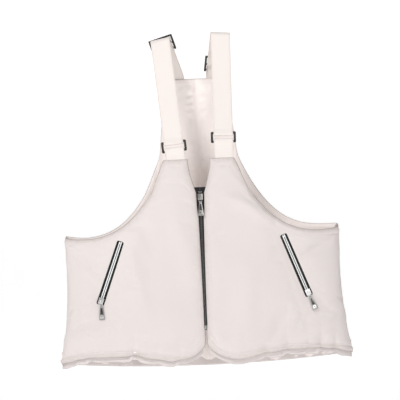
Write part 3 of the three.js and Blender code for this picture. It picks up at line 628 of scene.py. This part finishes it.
def pocketFrame(sign):
    bottom, top = pocketLine["bottom"], pocketLine["top"]
    low = surfacePoint(sign * bottom[0], bottom[1], 0, -1, plainSides)
    high = surfacePoint(sign * top[0], top[1], 0, -1, plainSides)
    midX, midZ = sign * (bottom[0] + top[0]) / 2, (bottom[1] + top[1]) / 2
    inward = (surfacePoint(midX, midZ, 0.001, -1, plainSides)
              - surfacePoint(midX, midZ, 0, -1, plainSides)).normalized()
    up = (high - low).normalized()
    across = inward.cross(up).normalized()
    square = up.cross(across)
    matrix = Matrix((across, square, up)).transposed().to_4x4()
    matrix.translation = low
    return matrix, (high - low).length


def cutPocketSlot(piece, sign):
    matrix, length = pocketFrame(sign)
    bm = bmesh.new()
    low, high = pocketLine["slotBottom"], pocketLine["slotTop"]
    foot, head = -pocketLine["roomLow"], length + pocketLine["roomHigh"]
    corners = [(-low, foot), (low, foot), (high, head), (-high, head)]
    bm.faces.new([bm.verts.new((x, pocketLine["cutFrom"], z)) for x, z in corners])
    bmesh.ops.subdivide_edges(bm, edges=[e for e in bm.edges if e.calc_length() > 0.05], cuts=1)
    pushed = bmesh.ops.extrude_face_region(bm, geom=bm.faces[:])["geom"]
    moved = [v for v in pushed if isinstance(v, bmesh.types.BMVert)]
    bmesh.ops.translate(bm, verts=moved, vec=(0, pocketLine["cutDepth"], 0))
    upright = [e for e in bm.edges if abs((e.verts[0].co - e.verts[1].co).normalized().y) > 0.9]
    bmesh.ops.bevel(bm, geom=upright, offset=0.003, affect="EDGES", segments=3, profile=0.5, material=-1)
    bmesh.ops.recalc_face_normals(bm, faces=bm.faces)
    bmesh.ops.transform(bm, matrix=matrix, verts=bm.verts)
    mesh = bpy.data.meshes.new("slotCutter")
    bm.to_mesh(mesh)
    bm.free()
    mesh.materials.append(tapeCloth)
    cutter = bpy.data.objects.new("slotCutter", mesh)
    scene.collection.objects.link(cutter)
    boolean = piece.modifiers.new("slot", "BOOLEAN")
    boolean.operation = "DIFFERENCE"
    boolean.solver = "EXACT"
    boolean.material_mode = "TRANSFER"
    boolean.object = cutter
    applyModifiers(piece)
    bpy.data.objects.remove(cutter)


def paintSides(piece):
    # slot 0 is the outer cloth and slot 1 the lining
    side = piece.data.attributes["outerSide"].data
    for polygon in piece.data.polygons:
        share = sum(side[i].value for i in polygon.vertices) / len(polygon.vertices)
        polygon.material_index = 0 if share > 0.25 else 1


def addFrontPanel(side, sign):
    folds = frontFolds[sign]

    def relief(x, z, away, face):
        above = z - frontHemZ(abs(x))
        rise = foldRise(abs(x), z, folds) * (1 if face == 0 else -0.6) + hemPucker(x, above)
        rise += hemBand(x, above)
        if above > 0.1 and abs(x) > 0.09:
            rise += 0.5 * edgeRoll(away)
        return rise - (slotSink(x, z) if face == 0 else 0)

    bm = paddedGrid(74, 108, lambda s, t, depth: frontPlace(sign, s, t, depth), relief, spreadFront)
    nodes = [f"front_shell_{side}", f"front_wadding_{side}", f"front_lining_{side}", f"pocket_bag_{side}"]
    panel = finishPiece(f"paddedFront_{side}", bm, [shellCloth, liningClothPaintedLight], rootBody, nodes, "outer_cloth")
    swell(panel, f"front {side}")
    paintSides(panel)
    addSubdivision(panel)
    applyModifiers(panel)
    cutPocketSlot(panel, sign)
    return panel


def backRelief(x, z, away, face):
    above = z - backHemZ(x)
    rise = hemPucker(x, above, 0.0018) + hemBand(x + 0.021, above)
    if above > 0.2 and abs(x) > 0.085:
        crumple = noise.noise(Vector((x * 90, z * 60, 2.5))) * math.exp(-away / 0.02)
        rise += edgeRoll(away) + 0.0016 * crumple
    bibShare = smoothStep((z - 0.25) / 0.1)
    wander = z * 290 + 3 * math.sin(z * 61)
    dents = sum(math.exp(-((x - way * 0.0105) / 0.006) ** 2) * math.sin(wander + 1.4 * way)
                for way in (-1, 1))
    gather = 0.0024 * dents - 0.0040 * math.exp(-(x / 0.0036) ** 2)
    side = 0.0022 * noise.noise(Vector((x * 30, z * 16, 5.5 + face)))
    return rise + (gather * bibShare if face else -0.0006 * math.exp(-(x / 0.003) ** 2)) + side


def addBackPanel():
    bm = paddedGrid(170, 130, backPlace, backRelief, spreadBack)
    nodes = ["back_shell", "back_wadding", "back_lining"]
    panel = finishPiece("paddedBack", bm, [shellCloth, liningClothPaintedLight], rootBody, nodes, "outer_cloth")
    swell(panel, "back")
    paintSides(panel)
    addSubdivision(panel)
    applyModifiers(panel)
    return panel


panels = {"right": addFrontPanel("right", -1), "left": addFrontPanel("left", 1), "back": addBackPanel()}
print("panels made")

# Hem facings
facing = {"depth": 0.0098, "thickness": 0.0012, "height": 0.031, "below": 0.009, "backHeight": 0.024,
          "frontLength": 0.31, "backLength": 0.62}


def bandPiece(name, place, length, height, thickness, nodes, material, materialSlot, columns, rows=8):
    # a thin strip of cloth, its width and height laid out flat in the uv map
    bm = bmesh.new()
    bmesh.ops.create_grid(bm, x_segments=columns, y_segments=rows, size=0.5)
    uv = bm.loops.layers.uv.new("cloth")
    for face in bm.faces:
        for loop in face.loops:
            loop[uv].uv = ((loop.vert.co.x + 0.5) * length, (loop.vert.co.y + 0.5) * height)
    for v in bm.verts:
        v.co = place(v.co.x + 0.5, v.co.y + 0.5)
    bmesh.ops.recalc_face_normals(bm, faces=bm.faces)
    piece = finishPiece(name, bm, material, rootBody, nodes, materialSlot)
    solid = piece.modifiers.new("thickness", "SOLIDIFY")
    solid.thickness = thickness
    solid.offset = 0
    return piece


def addFacings():
    for side, sign in (("right", -1), ("left", 1)):
        def place(s, t, sign=sign):
            share = spreadFront(s)
            x = mix(body["edgeGapBottom"] + 0.005, fullSides[1] - 0.001, share)
            ripple = 0.0022 * noise.noise(Vector((sign * x * 55, t, 4.4))) * (1 - t)
            ripple -= 0.003 * pleatRise(sign * x + 0.006, 0.005) * (1 - t)
            z = frontHemZ(x) - facing["below"] + t * facing["height"]
            wave = 0.0018 * noise.noise(Vector((sign * x * 40, 2.2, 1.7))) * (1 - t)
            wave += 0.0035 * pleatRise(sign * x, 0.007) * (1 - t)
            return surfacePoint(sign * x, z + wave, facing["depth"] + ripple, -1)
        strip = bandPiece(f"hemFacing_{side}", place, facing["frontLength"], facing["height"],
                          facing["thickness"],
                          [f"front_hem_facing_{side}"], shellCloth, "outer_cloth", 150)

    def placeBack(s, t):
        share = spreadBack(s)
        x = share * (fullSides[1] - 0.001)
        ripple = 0.002 * noise.noise(Vector((x * 50, t, 9.4)))
        ripple -= 0.003 * pleatRise(x + 0.021, 0.006) * (1 - t)
        z = backHemZ(x) + 0.001 + t * facing["backHeight"]
        return surfacePoint(x, z, facing["depth"] + ripple, 1)
    strip = bandPiece("hemFacing_back", placeBack, facing["backLength"], facing["backHeight"],
                      facing["thickness"],
                      ["back_hem_facing"], shellCloth, "outer_cloth", 240)


addFacings()
print("facings made")

# Straps
webbing = {"width": 0.038, "thickness": 0.0012, "ply": 0.0015, "step": 0.0016}
fitting = {"ringHeight": 0.022, "ringBar": 0.0045, "ringThickness": 0.003, "strapRoom": 0.0009,
           "tabRoom": 0.0017, "glideBar": 0.004, "glideThickness": 0.0018, "foldRadius": 0.008,
           "foldY": -0.016, "sewnIn": 0.017, "depth": 0.0042, "bibX": 0.040, "slack": 0.0017}
strapRuns = {
    "right": {"sign": -1, "baseX": -0.0446, "ringZ": 0.432, "topX": -0.064, "topZ": 0.643, "tilt": 11,
              "drop": 0.007, "leg": 0.002},
    "left": {"sign": 1, "baseX": 0.0495, "ringZ": 0.446, "topX": 0.0527, "topZ": 0.651, "tilt": -4.4,
             "drop": 0.0605, "leg": 0.024},
}


def strapPath(run):
    # unrolled, a strap is one straight band that lies flat round a tilted fold
    tilt, radius = math.radians(run["tilt"]), fitting["foldRadius"]
    axis = Vector((math.cos(tilt), 0, math.sin(tilt)))
    rise = Vector((-math.sin(tilt), 0, math.cos(tilt)))
    centre = Vector((run["topX"], fitting["foldY"], run["topZ"] - radius + hemLevel))
    base = Vector((run["baseX"], -body["frontDepth"] + fitting["depth"], body["panelTop"] + hemLevel))
    bib = Vector((run["sign"] * fitting["bibX"], body["bibDepth"] - fitting["depth"],
                  body["bibTop"] + hemLevel))

    def seen(point):
        away = point - centre
        reach = math.hypot(away.y, away.dot(rise))
        turn = math.atan2(away.dot(rise), away.y)
        return turn, away.dot(axis), math.acos(radius / reach), math.sqrt(reach ** 2 - radius ** 2)
    frontTurn, frontAlong, frontTouch, frontLength = seen(base)
    rearTurn, rearAlong, rearTouch, rearLength = seen(bib)
    start, end = frontTurn + 2 * math.pi - frontTouch, rearTurn + rearTouch
    arc = radius * (start - end)
    drift = (frontAlong - rearAlong) / (frontLength + arc + rearLength)

    def squareTo(up):
        return (axis - up * up.dot(axis)).normalized()

    def fold(share):
        turn = mix(end, start, share)
        middle = centre + axis * (rearAlong + drift * (rearLength + arc * share))
        middle += rise * (radius * math.sin(turn)) + Vector((0, radius * math.cos(turn), 0))
        onward = (axis * drift + rise * math.cos(turn) - Vector((0, math.sin(turn), 0))).normalized()
        return middle, squareTo(onward)
    return base, bib, fold, squareTo


def frontRun(run):
    base, _, fold, squareTo = strapPath(run)
    up = (fold(1)[0] - base).normalized()
    across = squareTo(up)
    return base, up, across, across.cross(up)


def rearRun(run):
    _, bib, fold, squareTo = strapPath(run)
    foldEnd = fold(0)[0]
    up = (foldEnd - bib).normalized()
    across = squareTo(up)
    return foldEnd, bib, up, across, up.cross(across)


def barLoop(centre, up, across, out, barAt, toward, room):
    radius = fitting["ringThickness"] / 2 + room + webbing["thickness"] / 2
    clear = fitting["ringBar"] / 2 + room + webbing["thickness"] / 2
    far = barAt - toward * (clear - radius + fitting["slack"])
    ply = webbing["ply"] / 2
    steps = [(ply, far + toward * 0.010), (radius, far + toward * 0.0015)]
    for step in range(9):
        turn = math.pi * step / 8
        steps.append((radius * math.cos(turn), far - toward * radius * math.sin(turn)))
    steps += [(-radius, far + toward * 0.0015), (-ply, far + toward * 0.010)]
    return [(centre + out * o + up * u, across) for o, u in steps]


def resample(stops, step):
    # a smooth line through the stops, with even steps and each step's width direction
    points = []
    for i in range(len(stops) - 1):
        p0, p1 = stops[max(i - 1, 0)][0], stops[i][0]
        p2, p3 = stops[i + 1][0], stops[min(i + 2, len(stops) - 1)][0]
        length = (p2 - p1).length
        near = min((p1 - p0).length or length, (p3 - p2).length or length, length)
        slack = near / max(length, 1e-9)
        m1 = (p2 - p0).normalized() * length * mix(0.35, 1, slack)
        m2 = (p3 - p1).normalized() * length * mix(0.35, 1, slack)
        count = max(int(length / step), 1)
        for k in range(count):
            t = k / count
            point = (p1 * (2 * t ** 3 - 3 * t ** 2 + 1) + m1 * (t ** 3 - 2 * t ** 2 + t)
                     + p2 * (3 * t ** 2 - 2 * t ** 3) + m2 * (t ** 3 - t ** 2))
            points.append((point, stops[i][1].lerp(stops[i + 1][1], t).normalized()))
    points.append(stops[-1])
    return points


def webbingPiece(name, stops, bodyName, nodes, width=None, wobble=0.0004):
    width = width or webbing["width"]
    line = resample(stops, webbing["step"])
    total = [0.0]
    for i in range(1, len(line)):
        total.append(total[-1] + (line[i][0] - line[i - 1][0]).length)
    columns = 10
    bm = bmesh.new()
    uv = bm.loops.layers.uv.new("cloth")
    seam = bm.verts.layers.float.new("seam")
    bmesh.ops.create_grid(bm, x_segments=columns, y_segments=len(line) - 1, size=0.5)
    place = {}
    for v in bm.verts:
        share = v.co.x + 0.5
        row = min(int(round((v.co.y + 0.5) * (len(line) - 1))), len(line) - 1)
        middle, across = line[row]
        ahead, behind = line[min(row + 1, len(line) - 1)][0], line[max(row - 1, 0)][0]
        out = (ahead - behind).normalized().cross(across).normalized()
        edge = abs(share - 0.5) * 2
        drift = wobble * noise.noise(Vector((share * 0.7, total[row] * 14, 6.0)))
        place[v] = (middle + across * (share - 0.5) * width + out * drift, share * width, total[row], edge)
    for face in bm.faces:
        for loop in face.loops:
            loop[uv].uv = place[loop.vert][1:3]
    for v, (point, _, _, edge) in place.items():
        v[seam] = edge ** 12
        v.co = point
    bmesh.ops.recalc_face_normals(bm, faces=bm.faces)
    piece = finishPiece(name, bm, webbingCloth, bodyName, nodes, "webbing")
    solid = piece.modifiers.new("thickness", "SOLIDIFY")
    solid.thickness = webbing["thickness"]
    solid.offset = 0
    bevel = piece.modifiers.new("edge", "BEVEL")
    bevel.width = 0.0004
    bevel.segments = 2
    bevel.angle_limit = math.radians(50)
    return piece, line


stitch = {"length": 0.0026, "pitch": 0.0036, "radius": 0.00028, "rowHalf": 0.0175, "inset": 0.0065,
          "above": -0.001}


def stitchPiece(name, runs, bodyName):
    # rows of thread: each run is a list of (point, direction, outward)
    bm = bmesh.new()
    uv = bm.loops.layers.uv.new("cloth")
    for run in runs:
        for point, along, out in run:
            side = along.cross(out).normalized()
            turned = Matrix((side, out, along)).transposed().to_4x4()
            turned.translation = point + out * stitch["radius"] * 0.4
            size = Matrix.Diagonal((stitch["radius"], stitch["radius"], stitch["length"] / 2, 1))
            bmesh.ops.create_uvsphere(bm, u_segments=6, v_segments=5, radius=1, matrix=turned @ size)
    for face in bm.faces:
        for loop in face.loops:
            loop[uv].uv = (loop.vert.co.x, loop.vert.co.z)
    return finishPiece(name, bm, threadCloth, bodyName, materialSlot="webbing")


def straightStitches(start, end, out):
    along = (end - start).normalized()
    count = int((end - start).length / stitch["pitch"])
    return [(start + along * (i + 0.5) * stitch["pitch"], along, out) for i in range(count)]


def addStrap(side, run):
    base, up, across, out = frontRun(run)
    foldEnd, bib, rearUp, rearAcross, rearOut = rearRun(run)
    centre = base + up * ((run["ringZ"] - body["panelTop"]) / up.z)
    barAt = fitting["ringHeight"] / 2 - fitting["ringBar"] / 2
    ply = webbing["ply"]

    def sewn(o):
        return base + out * o + Vector((0, 0, -fitting["sewnIn"])), across
    tabLoop = barLoop(centre, up, across, out, -barAt, -1, fitting["tabRoom"])
    tabStops = [sewn(ply / 2), *tabLoop, sewn(-ply / 2)]
    webbingPiece(f"strapTab_{side}", tabStops, rootBody, [f"strap_tab_{side}"])

    rearLength = (foldEnd - bib).length
    glideAt = rearLength - run["drop"]
    sewnBib = bib + Vector((0, 0.001, -fitting["sewnIn"]))
    outer = [(sewnBib, rearAcross), (bib, rearAcross)]
    outer += [(bib + rearUp * along, rearAcross) for along in (rearLength * 0.5, rearLength - 0.001)]
    fold = strapPath(run)[2]
    foldStops = [fold(i / 12) for i in range(1, 13)]
    returnStart = glideAt + run["leg"] + 0.0005
    low, high = bib + rearUp * returnStart, bib + rearUp * (rearLength - 0.001)
    shared = [(high, rearAcross)]
    if returnStart < rearLength - 0.003:
        shared.insert(0, (low, rearAcross))
    path = shared + foldStops
    inner = []
    for i, (point, width) in enumerate(path):
        tangent = (path[min(i + 1, len(path) - 1)][0] - path[max(i - 1, 0)][0]).normalized()
        inner.append((point - tangent.cross(width).normalized() * ply, width))
    loop = barLoop(centre, up, across, out, barAt, 1, fitting["strapRoom"])
    webbingPiece(f"strap_{side}", outer + foldStops + loop + inner[::-1], rootBody, [f"strap_{side}"])

    # the sewn end, which goes where its tri-glide goes
    middle = bib + rearUp * glideAt
    half = webbing["thickness"] / 2
    near = -ply
    barMiddle = -half - 0.0003 - ply - fitting["glideThickness"] / 2
    radius = near - barMiddle
    turnAt = -fitting["glideBar"] / 2 + 0.0003
    steps = [(near, run["leg"])]
    steps += [(barMiddle + radius * math.cos(math.pi * i / 8), turnAt - radius * math.sin(math.pi * i / 8))
              for i in range(9)]
    steps.append((barMiddle - radius, fitting["glideBar"] / 2 + 0.0008))
    if run["leg"] > 0.012:
        steps += [(near - ply, run["leg"] * 0.45), (near - ply, run["leg"] * 0.9)]
    endStops = [(middle + rearOut * o + rearUp * u, rearAcross) for o, u in steps]
    webbingPiece(f"strapEnd_{side}", endStops[::-1], f"tri_glide_{side}_body", [f"strap_end_{side}"],
                 wobble=0)
    rows = []
    if run["leg"] > 0.012:
        inward = -rearOut
        for at in (0.62, 0.84):
            rowMiddle = middle + rearUp * run["leg"] * at + inward * (ply * 2 + half)
            reach = rearAcross * stitch["rowHalf"]
            rows.append(straightStitches(rowMiddle - reach, rowMiddle + reach, inward))
        stitchPiece(f"endStitches_{side}", rows, f"tri_glide_{side}_body")
    roundedCopy(f"ring_{side}", f"strap_ring_{side}", blackPlastic, f"strap_ring_{side}_body", 0.0011,
                "strap_hardware", 4)
    roundedCopy(f"triGlide_{side}", f"tri_glide_{side}", blackPlastic, f"tri_glide_{side}_body", 0.0007,
                "strap_hardware", 3)


for side, run in strapRuns.items():
    addStrap(side, run)
print("straps made")

# Zips
# The front zip's sizes come first and the pocket zips' second. A tape has its inner and outer edge, and
# how far it reaches below and above its chain. A row of teeth has its inner and outer edge.
zipSizes = {"tapes": ((0.0001, 0.0125, -0.009, 0.011), (0.0007, 0.0098, -0.005, 0.006)),
            "tapeDepth": 0.0023, "tapeThickness": 0.0006,
            "rows": ((0.0001, 0.0031), (0.0007, 0.0029)), "rowExtra": (0, 0.0045),
            "rowFront": 0.0009, "rowBack": 0.0022, "pitch": 0.0016, "toothShare": 0.97,
            "toothDrop": 0.0004, "toothBevel": 0.00032}


def zipFrame(name):
    if name == "front_zip":
        return Matrix.Translation((0, -body["frontDepth"], body["zipBottom"] + hemLevel)), body["zipLength"]
    return pocketFrame(-1 if name.endswith("right") else 1)


def addTapes(name, matrix, length):
    for side, sign in (("right", -1), ("left", 1)):
        bm = bmesh.new()
        bmesh.ops.create_grid(bm, x_segments=6, y_segments=int(length / 0.006), size=0.5)
        uv = bm.loops.layers.uv.new("cloth")
        for face in bm.faces:
            for loop in face.loops:
                loop[uv].uv = (loop.vert.co.x * 0.012, loop.vert.co.y * length)
        for v in bm.verts:
            inner, outer, foot, head = zipSizes["tapes"][0 if name == "front_zip" else 1]
            x = sign * mix(inner, outer, v.co.x + 0.5)
            z = mix(foot, length + head, v.co.y + 0.5)
            v.co = Vector((x, zipSizes["tapeDepth"] + zipSizes["tapeThickness"] / 2, z))
        bmesh.ops.transform(bm, matrix=matrix, verts=bm.verts)
        bmesh.ops.recalc_face_normals(bm, faces=bm.faces)
        tape = finishPiece(f"{name}_tapeCloth_{side}", bm, tapeCloth, rootBody, [f"{name}_tape_{side}"],
                           "zip_tape")
        solid = tape.modifiers.new("thickness", "SOLIDIFY")
        solid.thickness = zipSizes["tapeThickness"]
        solid.offset = 0


def addTeeth(name, matrix, length, material, materialSlot):
    kind = 0 if name == "front_zip" else 1
    inner, outer = zipSizes["rows"][kind]
    pitch = zipSizes["pitch"]
    for side, sign in (("right", -1), ("left", 1)):
        bm = bmesh.new()
        count = int((length + zipSizes["rowExtra"][kind]) / pitch)
        shift = (pitch / 2 if sign > 0 else 0) - zipSizes["toothDrop"]
        middleX = sign * (inner + outer) / 2
        middleY = (zipSizes["rowFront"] + zipSizes["rowBack"]) / 2
        size = Matrix.Diagonal((outer - inner, zipSizes["rowBack"] - zipSizes["rowFront"],
                                pitch * zipSizes["toothShare"], 1))
        for i in range(count):
            at = Matrix.Translation((middleX, middleY, (i + 0.5) * pitch + shift))
            bmesh.ops.create_cube(bm, size=1, matrix=at @ size)
        bmesh.ops.bevel(bm, geom=bm.edges[:], offset=zipSizes["toothBevel"], affect="EDGES", segments=1,
                        profile=0.5, material=-1)
        bmesh.ops.transform(bm, matrix=matrix, verts=bm.verts)
        finishPiece(f"{name}_elements_{side}", bm, material, rootBody, [f"{name}_coil_{side}"], materialSlot)


def addInlay(name, corners, eye, across, down, out, thick, material, bodyName, materialSlot):
    # a thin shaped plate on both faces of a pull
    bm = bmesh.new()
    for facing in (-1, 1):
        verts = [bm.verts.new(eye + across * x + down * d + out * facing * 0.0006) for x, d in corners]
        pushed = bmesh.ops.extrude_face_region(bm, geom=[bm.faces.new(verts)])["geom"]
        bmesh.ops.translate(bm, verts=[v for v in pushed if isinstance(v, bmesh.types.BMVert)],
                            vec=out * facing * thick)
    bmesh.ops.recalc_face_normals(bm, faces=bm.faces)
    bmesh.ops.bevel(bm, geom=bm.edges[:], offset=0.00015, affect="EDGES", segments=2, profile=0.5,
                    material=-1)
    finishPiece(name, bm, material, bodyName, materialSlot=materialSlot)


def addPull(name, metal, materialSlot):
    # a dark rim, an enamelled upper part between bright edges, and a bright square at the end
    bodyName = f"{name}_pull_body"
    roundedCopy(f"{name}_pullPlate", f"{name}_pull", gunMetal, bodyName, 0.00035, materialSlot, 2)
    node = frame["nodes"][f"{name}_pull"]
    hinge = next(j for j in frame["joints"] if j["name"] == f"{name}_pull_hinge")
    eye, across = Vector(hinge["pos_m"]), -Vector(hinge["axis"])
    centre = sum((v.co for v in node.data.vertices), Vector()) / len(node.data.vertices)
    down = (centre - eye).normalized()
    down = (down - across * down.dot(across)).normalized()
    out = across.cross(down).normalized()
    place = (eye, across, down, out)
    enamel = [(-0.0012, 0.0042), (0.0012, 0.0042), (0.0030, 0.0168), (-0.0030, 0.0168)]
    addInlay(f"{name}_pullEnamel", enamel, *place, 0.00030, blackEnamel, bodyName, "black_metal")
    square = [(-0.0034, 0.0185), (0.0034, 0.0185), (0.0038, 0.0243), (-0.0038, 0.0243)]
    addInlay(f"{name}_pullSquare", square, *place, 0.00030, metal, bodyName, materialSlot)
    hole = [(-0.0009, 0.0206), (0.0009, 0.0206), (0.0009, 0.0222), (-0.0009, 0.0222)]
    addInlay(f"{name}_pullHole", hole, *place, 0.00036, blackEnamel, bodyName, "black_metal")


def addZip(name, metal, materialSlot, elements, elementSlot, fixed):
    matrix, length = zipFrame(name)
    addTapes(name, matrix, length)
    addTeeth(name, matrix, length, elements, elementSlot)
    for part in fixed:
        roundedCopy(f"{name}_{part}Rounded", f"{name}_{part}", metal, rootBody, 0.0003, materialSlot, 2)
    roundedCopy(f"{name}_sliderBody", f"{name}_slider", metal, f"{name}_slider_body", 0.0004,
                materialSlot, 3)
    roundedCopy(f"{name}_linkWire", f"{name}_link", metal, f"{name}_link_body", 0.00028, materialSlot, 2)
    addPull(name, metal, materialSlot)


addZip("front_zip", gunMetal, "black_metal", blackNylon, "black_chain",
       ["top_stop_right", "top_stop_left", "retainer_box", "insertion_pin"])
for side in ("right", "left"):
    addZip(f"pocket_zip_{side}", brightNickel, "silver_metal", silverElements, "silver_metal",
           ["top_stop", "bottom_stop"])
print("zips made")

# Topstitching


def surfaceTree(piece):
    bm = bmesh.new()
    bm.from_mesh(piece.data)
    tree = BVHTree.FromBMesh(bm)
    bm.free()
    return tree


def seamStitches(tree, points):
    # points follow a line over the cloth; each stitch is laid on the cloth nearest to it
    line = resample([(p, Vector((1, 0, 0))) for p in points], stitch["pitch"] * 0.25)
    laid, last = [], None
    for point, _ in line:
        if last is not None and (point - last).length < stitch["pitch"]:
            continue
        if last is not None:
            middle = (point + last) / 2
            onCloth, normal, _, _ = tree.find_nearest(middle)
            along = (point - last) - normal * (point - last).dot(normal)
            if along.length > 0:
                laid.append((onCloth, along.normalized(), normal))
        last = point
    return laid


def evenly(first, last, steps):
    return [first + i * (last - first) / steps for i in range(steps + 1)]


def addTopstitching():
    inset, above = stitch["inset"], stitch["above"]
    for side, sign in (("right", -1), ("left", 1)):
        tree = surfaceTree(panels[side])
        hem = [surfacePoint(sign * x, frontHemZ(x) + inset, above, -1)
               for x in evenly(body["cornerRadius"], 0.283, 30)]
        corner = []
        for i in range(13):
            turn = math.pi / 2 * i / 12
            x = body["cornerRadius"] - (body["cornerRadius"] - 0.009) * math.cos(turn)
            z = body["frontHem"] + inset + (body["cornerRise"] - inset) * (1 - math.sin(turn))
            corner.append(surfacePoint(sign * x, z, above, -1))
        edge = [surfacePoint(sign * (frontEdgeX(z) + inset), z, above, -1) for z in evenly(0.33, 0.092, 20)]
        armhole = [surfacePoint(sign * x, frontTopZ(x) - inset - 0.002, above, -1)
                   for x in evenly(0.078, 0.262, 40)]
        runs = [seamStitches(tree, edge + corner[:-1] + hem), seamStitches(tree, armhole)]
        matrix, length = pocketFrame(sign)
        for way in (-1, 1):
            ends = [Vector((way * (pocketLine["slotBottom"] + 0.0018), 0, -0.006)),
                    Vector((way * (pocketLine["slotTop"] + 0.0018), 0, length + 0.006))]
            runs.append(seamStitches(tree, [matrix @ p for p in ends]))
        stitchPiece(f"topstitching_{side}", runs, rootBody)
    tree = surfaceTree(panels["back"])
    hem = [surfacePoint(x, backHemZ(x) + 0.0075, above, 1) for x in evenly(-0.282, 0.282, 60)]
    bibEdge = [surfacePoint(x, body["bibTop"] - 0.008, above, 1) for x in (-0.052, -0.02, 0.02, 0.052)]
    runs = [seamStitches(tree, hem), seamStitches(tree, bibEdge)]
    for sign in (-1, 1):
        armhole = [surfacePoint(sign * x, backTopZ(x) - 0.0085, above, 1) for x in evenly(0.082, 0.262, 40)]
        runs.append(seamStitches(tree, armhole))
    stitchPiece("topstitching_back", runs, rootBody)


addTopstitching()
print("topstitching made")

# Studio
# the backdrop stands farther off than the camera, so that a view from behind isn't blocked
studio = {"floorBelow": 0.30, "backBehind": 8.5, "half": 9.0, "curve": 1.2, "glow": 0.48,
          "worldLight": 0.32}


def addStudio():
    bm = bmesh.new()
    low = hemLevel - studio["floorBelow"]
    profile = [Vector((-studio["half"], -studio["half"], low)),
               Vector((-studio["half"], studio["backBehind"], low)),
               Vector((-studio["half"], studio["backBehind"], low + studio["half"]))]
    verts = [bm.verts.new(p) for p in profile]
    edges = [bm.edges.new(verts[i:i + 2]) for i in range(2)]
    pushed = bmesh.ops.extrude_edge_only(bm, edges=edges)["geom"]
    bmesh.ops.translate(bm, verts=[v for v in pushed if isinstance(v, bmesh.types.BMVert)],
                        vec=(2 * studio["half"], 0, 0))
    corner = [e for e in bm.edges if all(abs(v.co.y - studio["backBehind"]) < 1e-6
                                         and abs(v.co.z - low) < 1e-6 for v in e.verts)]
    bmesh.ops.bevel(bm, geom=corner, offset=studio["curve"], affect="EDGES", segments=24, profile=0.5,
                    material=-1)
    bmesh.ops.recalc_face_normals(bm, faces=bm.faces)
    mesh = bpy.data.meshes.new("backdrop")
    bm.to_mesh(mesh)
    bm.free()
    mesh.polygons.foreach_set("use_smooth", [True] * len(mesh.polygons))
    backdrop = bpy.data.objects.new("backdrop", mesh)
    scene.collection.objects.link(backdrop)
    material, tree, shader = startMaterial("paleFloor")
    shader.inputs["Base Color"].default_value = (0.93, 0.93, 0.93, 1)
    shader.inputs["Roughness"].default_value = 0.9
    shader.inputs["Emission Color"].default_value = (1, 1, 1, 1)
    shader.inputs["Emission Strength"].default_value = studio["glow"]
    mesh.materials.append(material)
    world = bpy.data.worlds.new("softWhite")
    world.use_nodes = True
    world.node_tree.nodes["Background"].inputs["Color"].default_value = (1, 1, 1, 1)
    world.node_tree.nodes["Background"].inputs["Strength"].default_value = studio["worldLight"]
    scene.world = world


lamps = {
    "keyLamp": {"place": (-1.5, -2.1, 1.7), "size": 0.8, "power": 56},
    "fillLamp": {"place": (1.1, -2.8, 0.1), "size": 1.8, "power": 22},
    "backLamp": {"place": (0.0, 1.7, 1.6), "size": 1.6, "power": 12},
}


def addLamps():
    for name, lamp in lamps.items():
        data = bpy.data.lights.new(name, "AREA")
        data.size = lamp["size"]
        data.energy = lamp["power"]
        lampObject = bpy.data.objects.new(name, data)
        scene.collection.objects.link(lampObject)
        lampObject.location = lamp["place"]
        toward = Vector((0, 0, hemLevel + 0.3)) - lampObject.location
        lampObject.rotation_euler = toward.to_track_quat("-Z", "Y").to_euler()


addStudio()
addLamps()
scene.view_settings.view_transform = "Standard"
print("studio made")
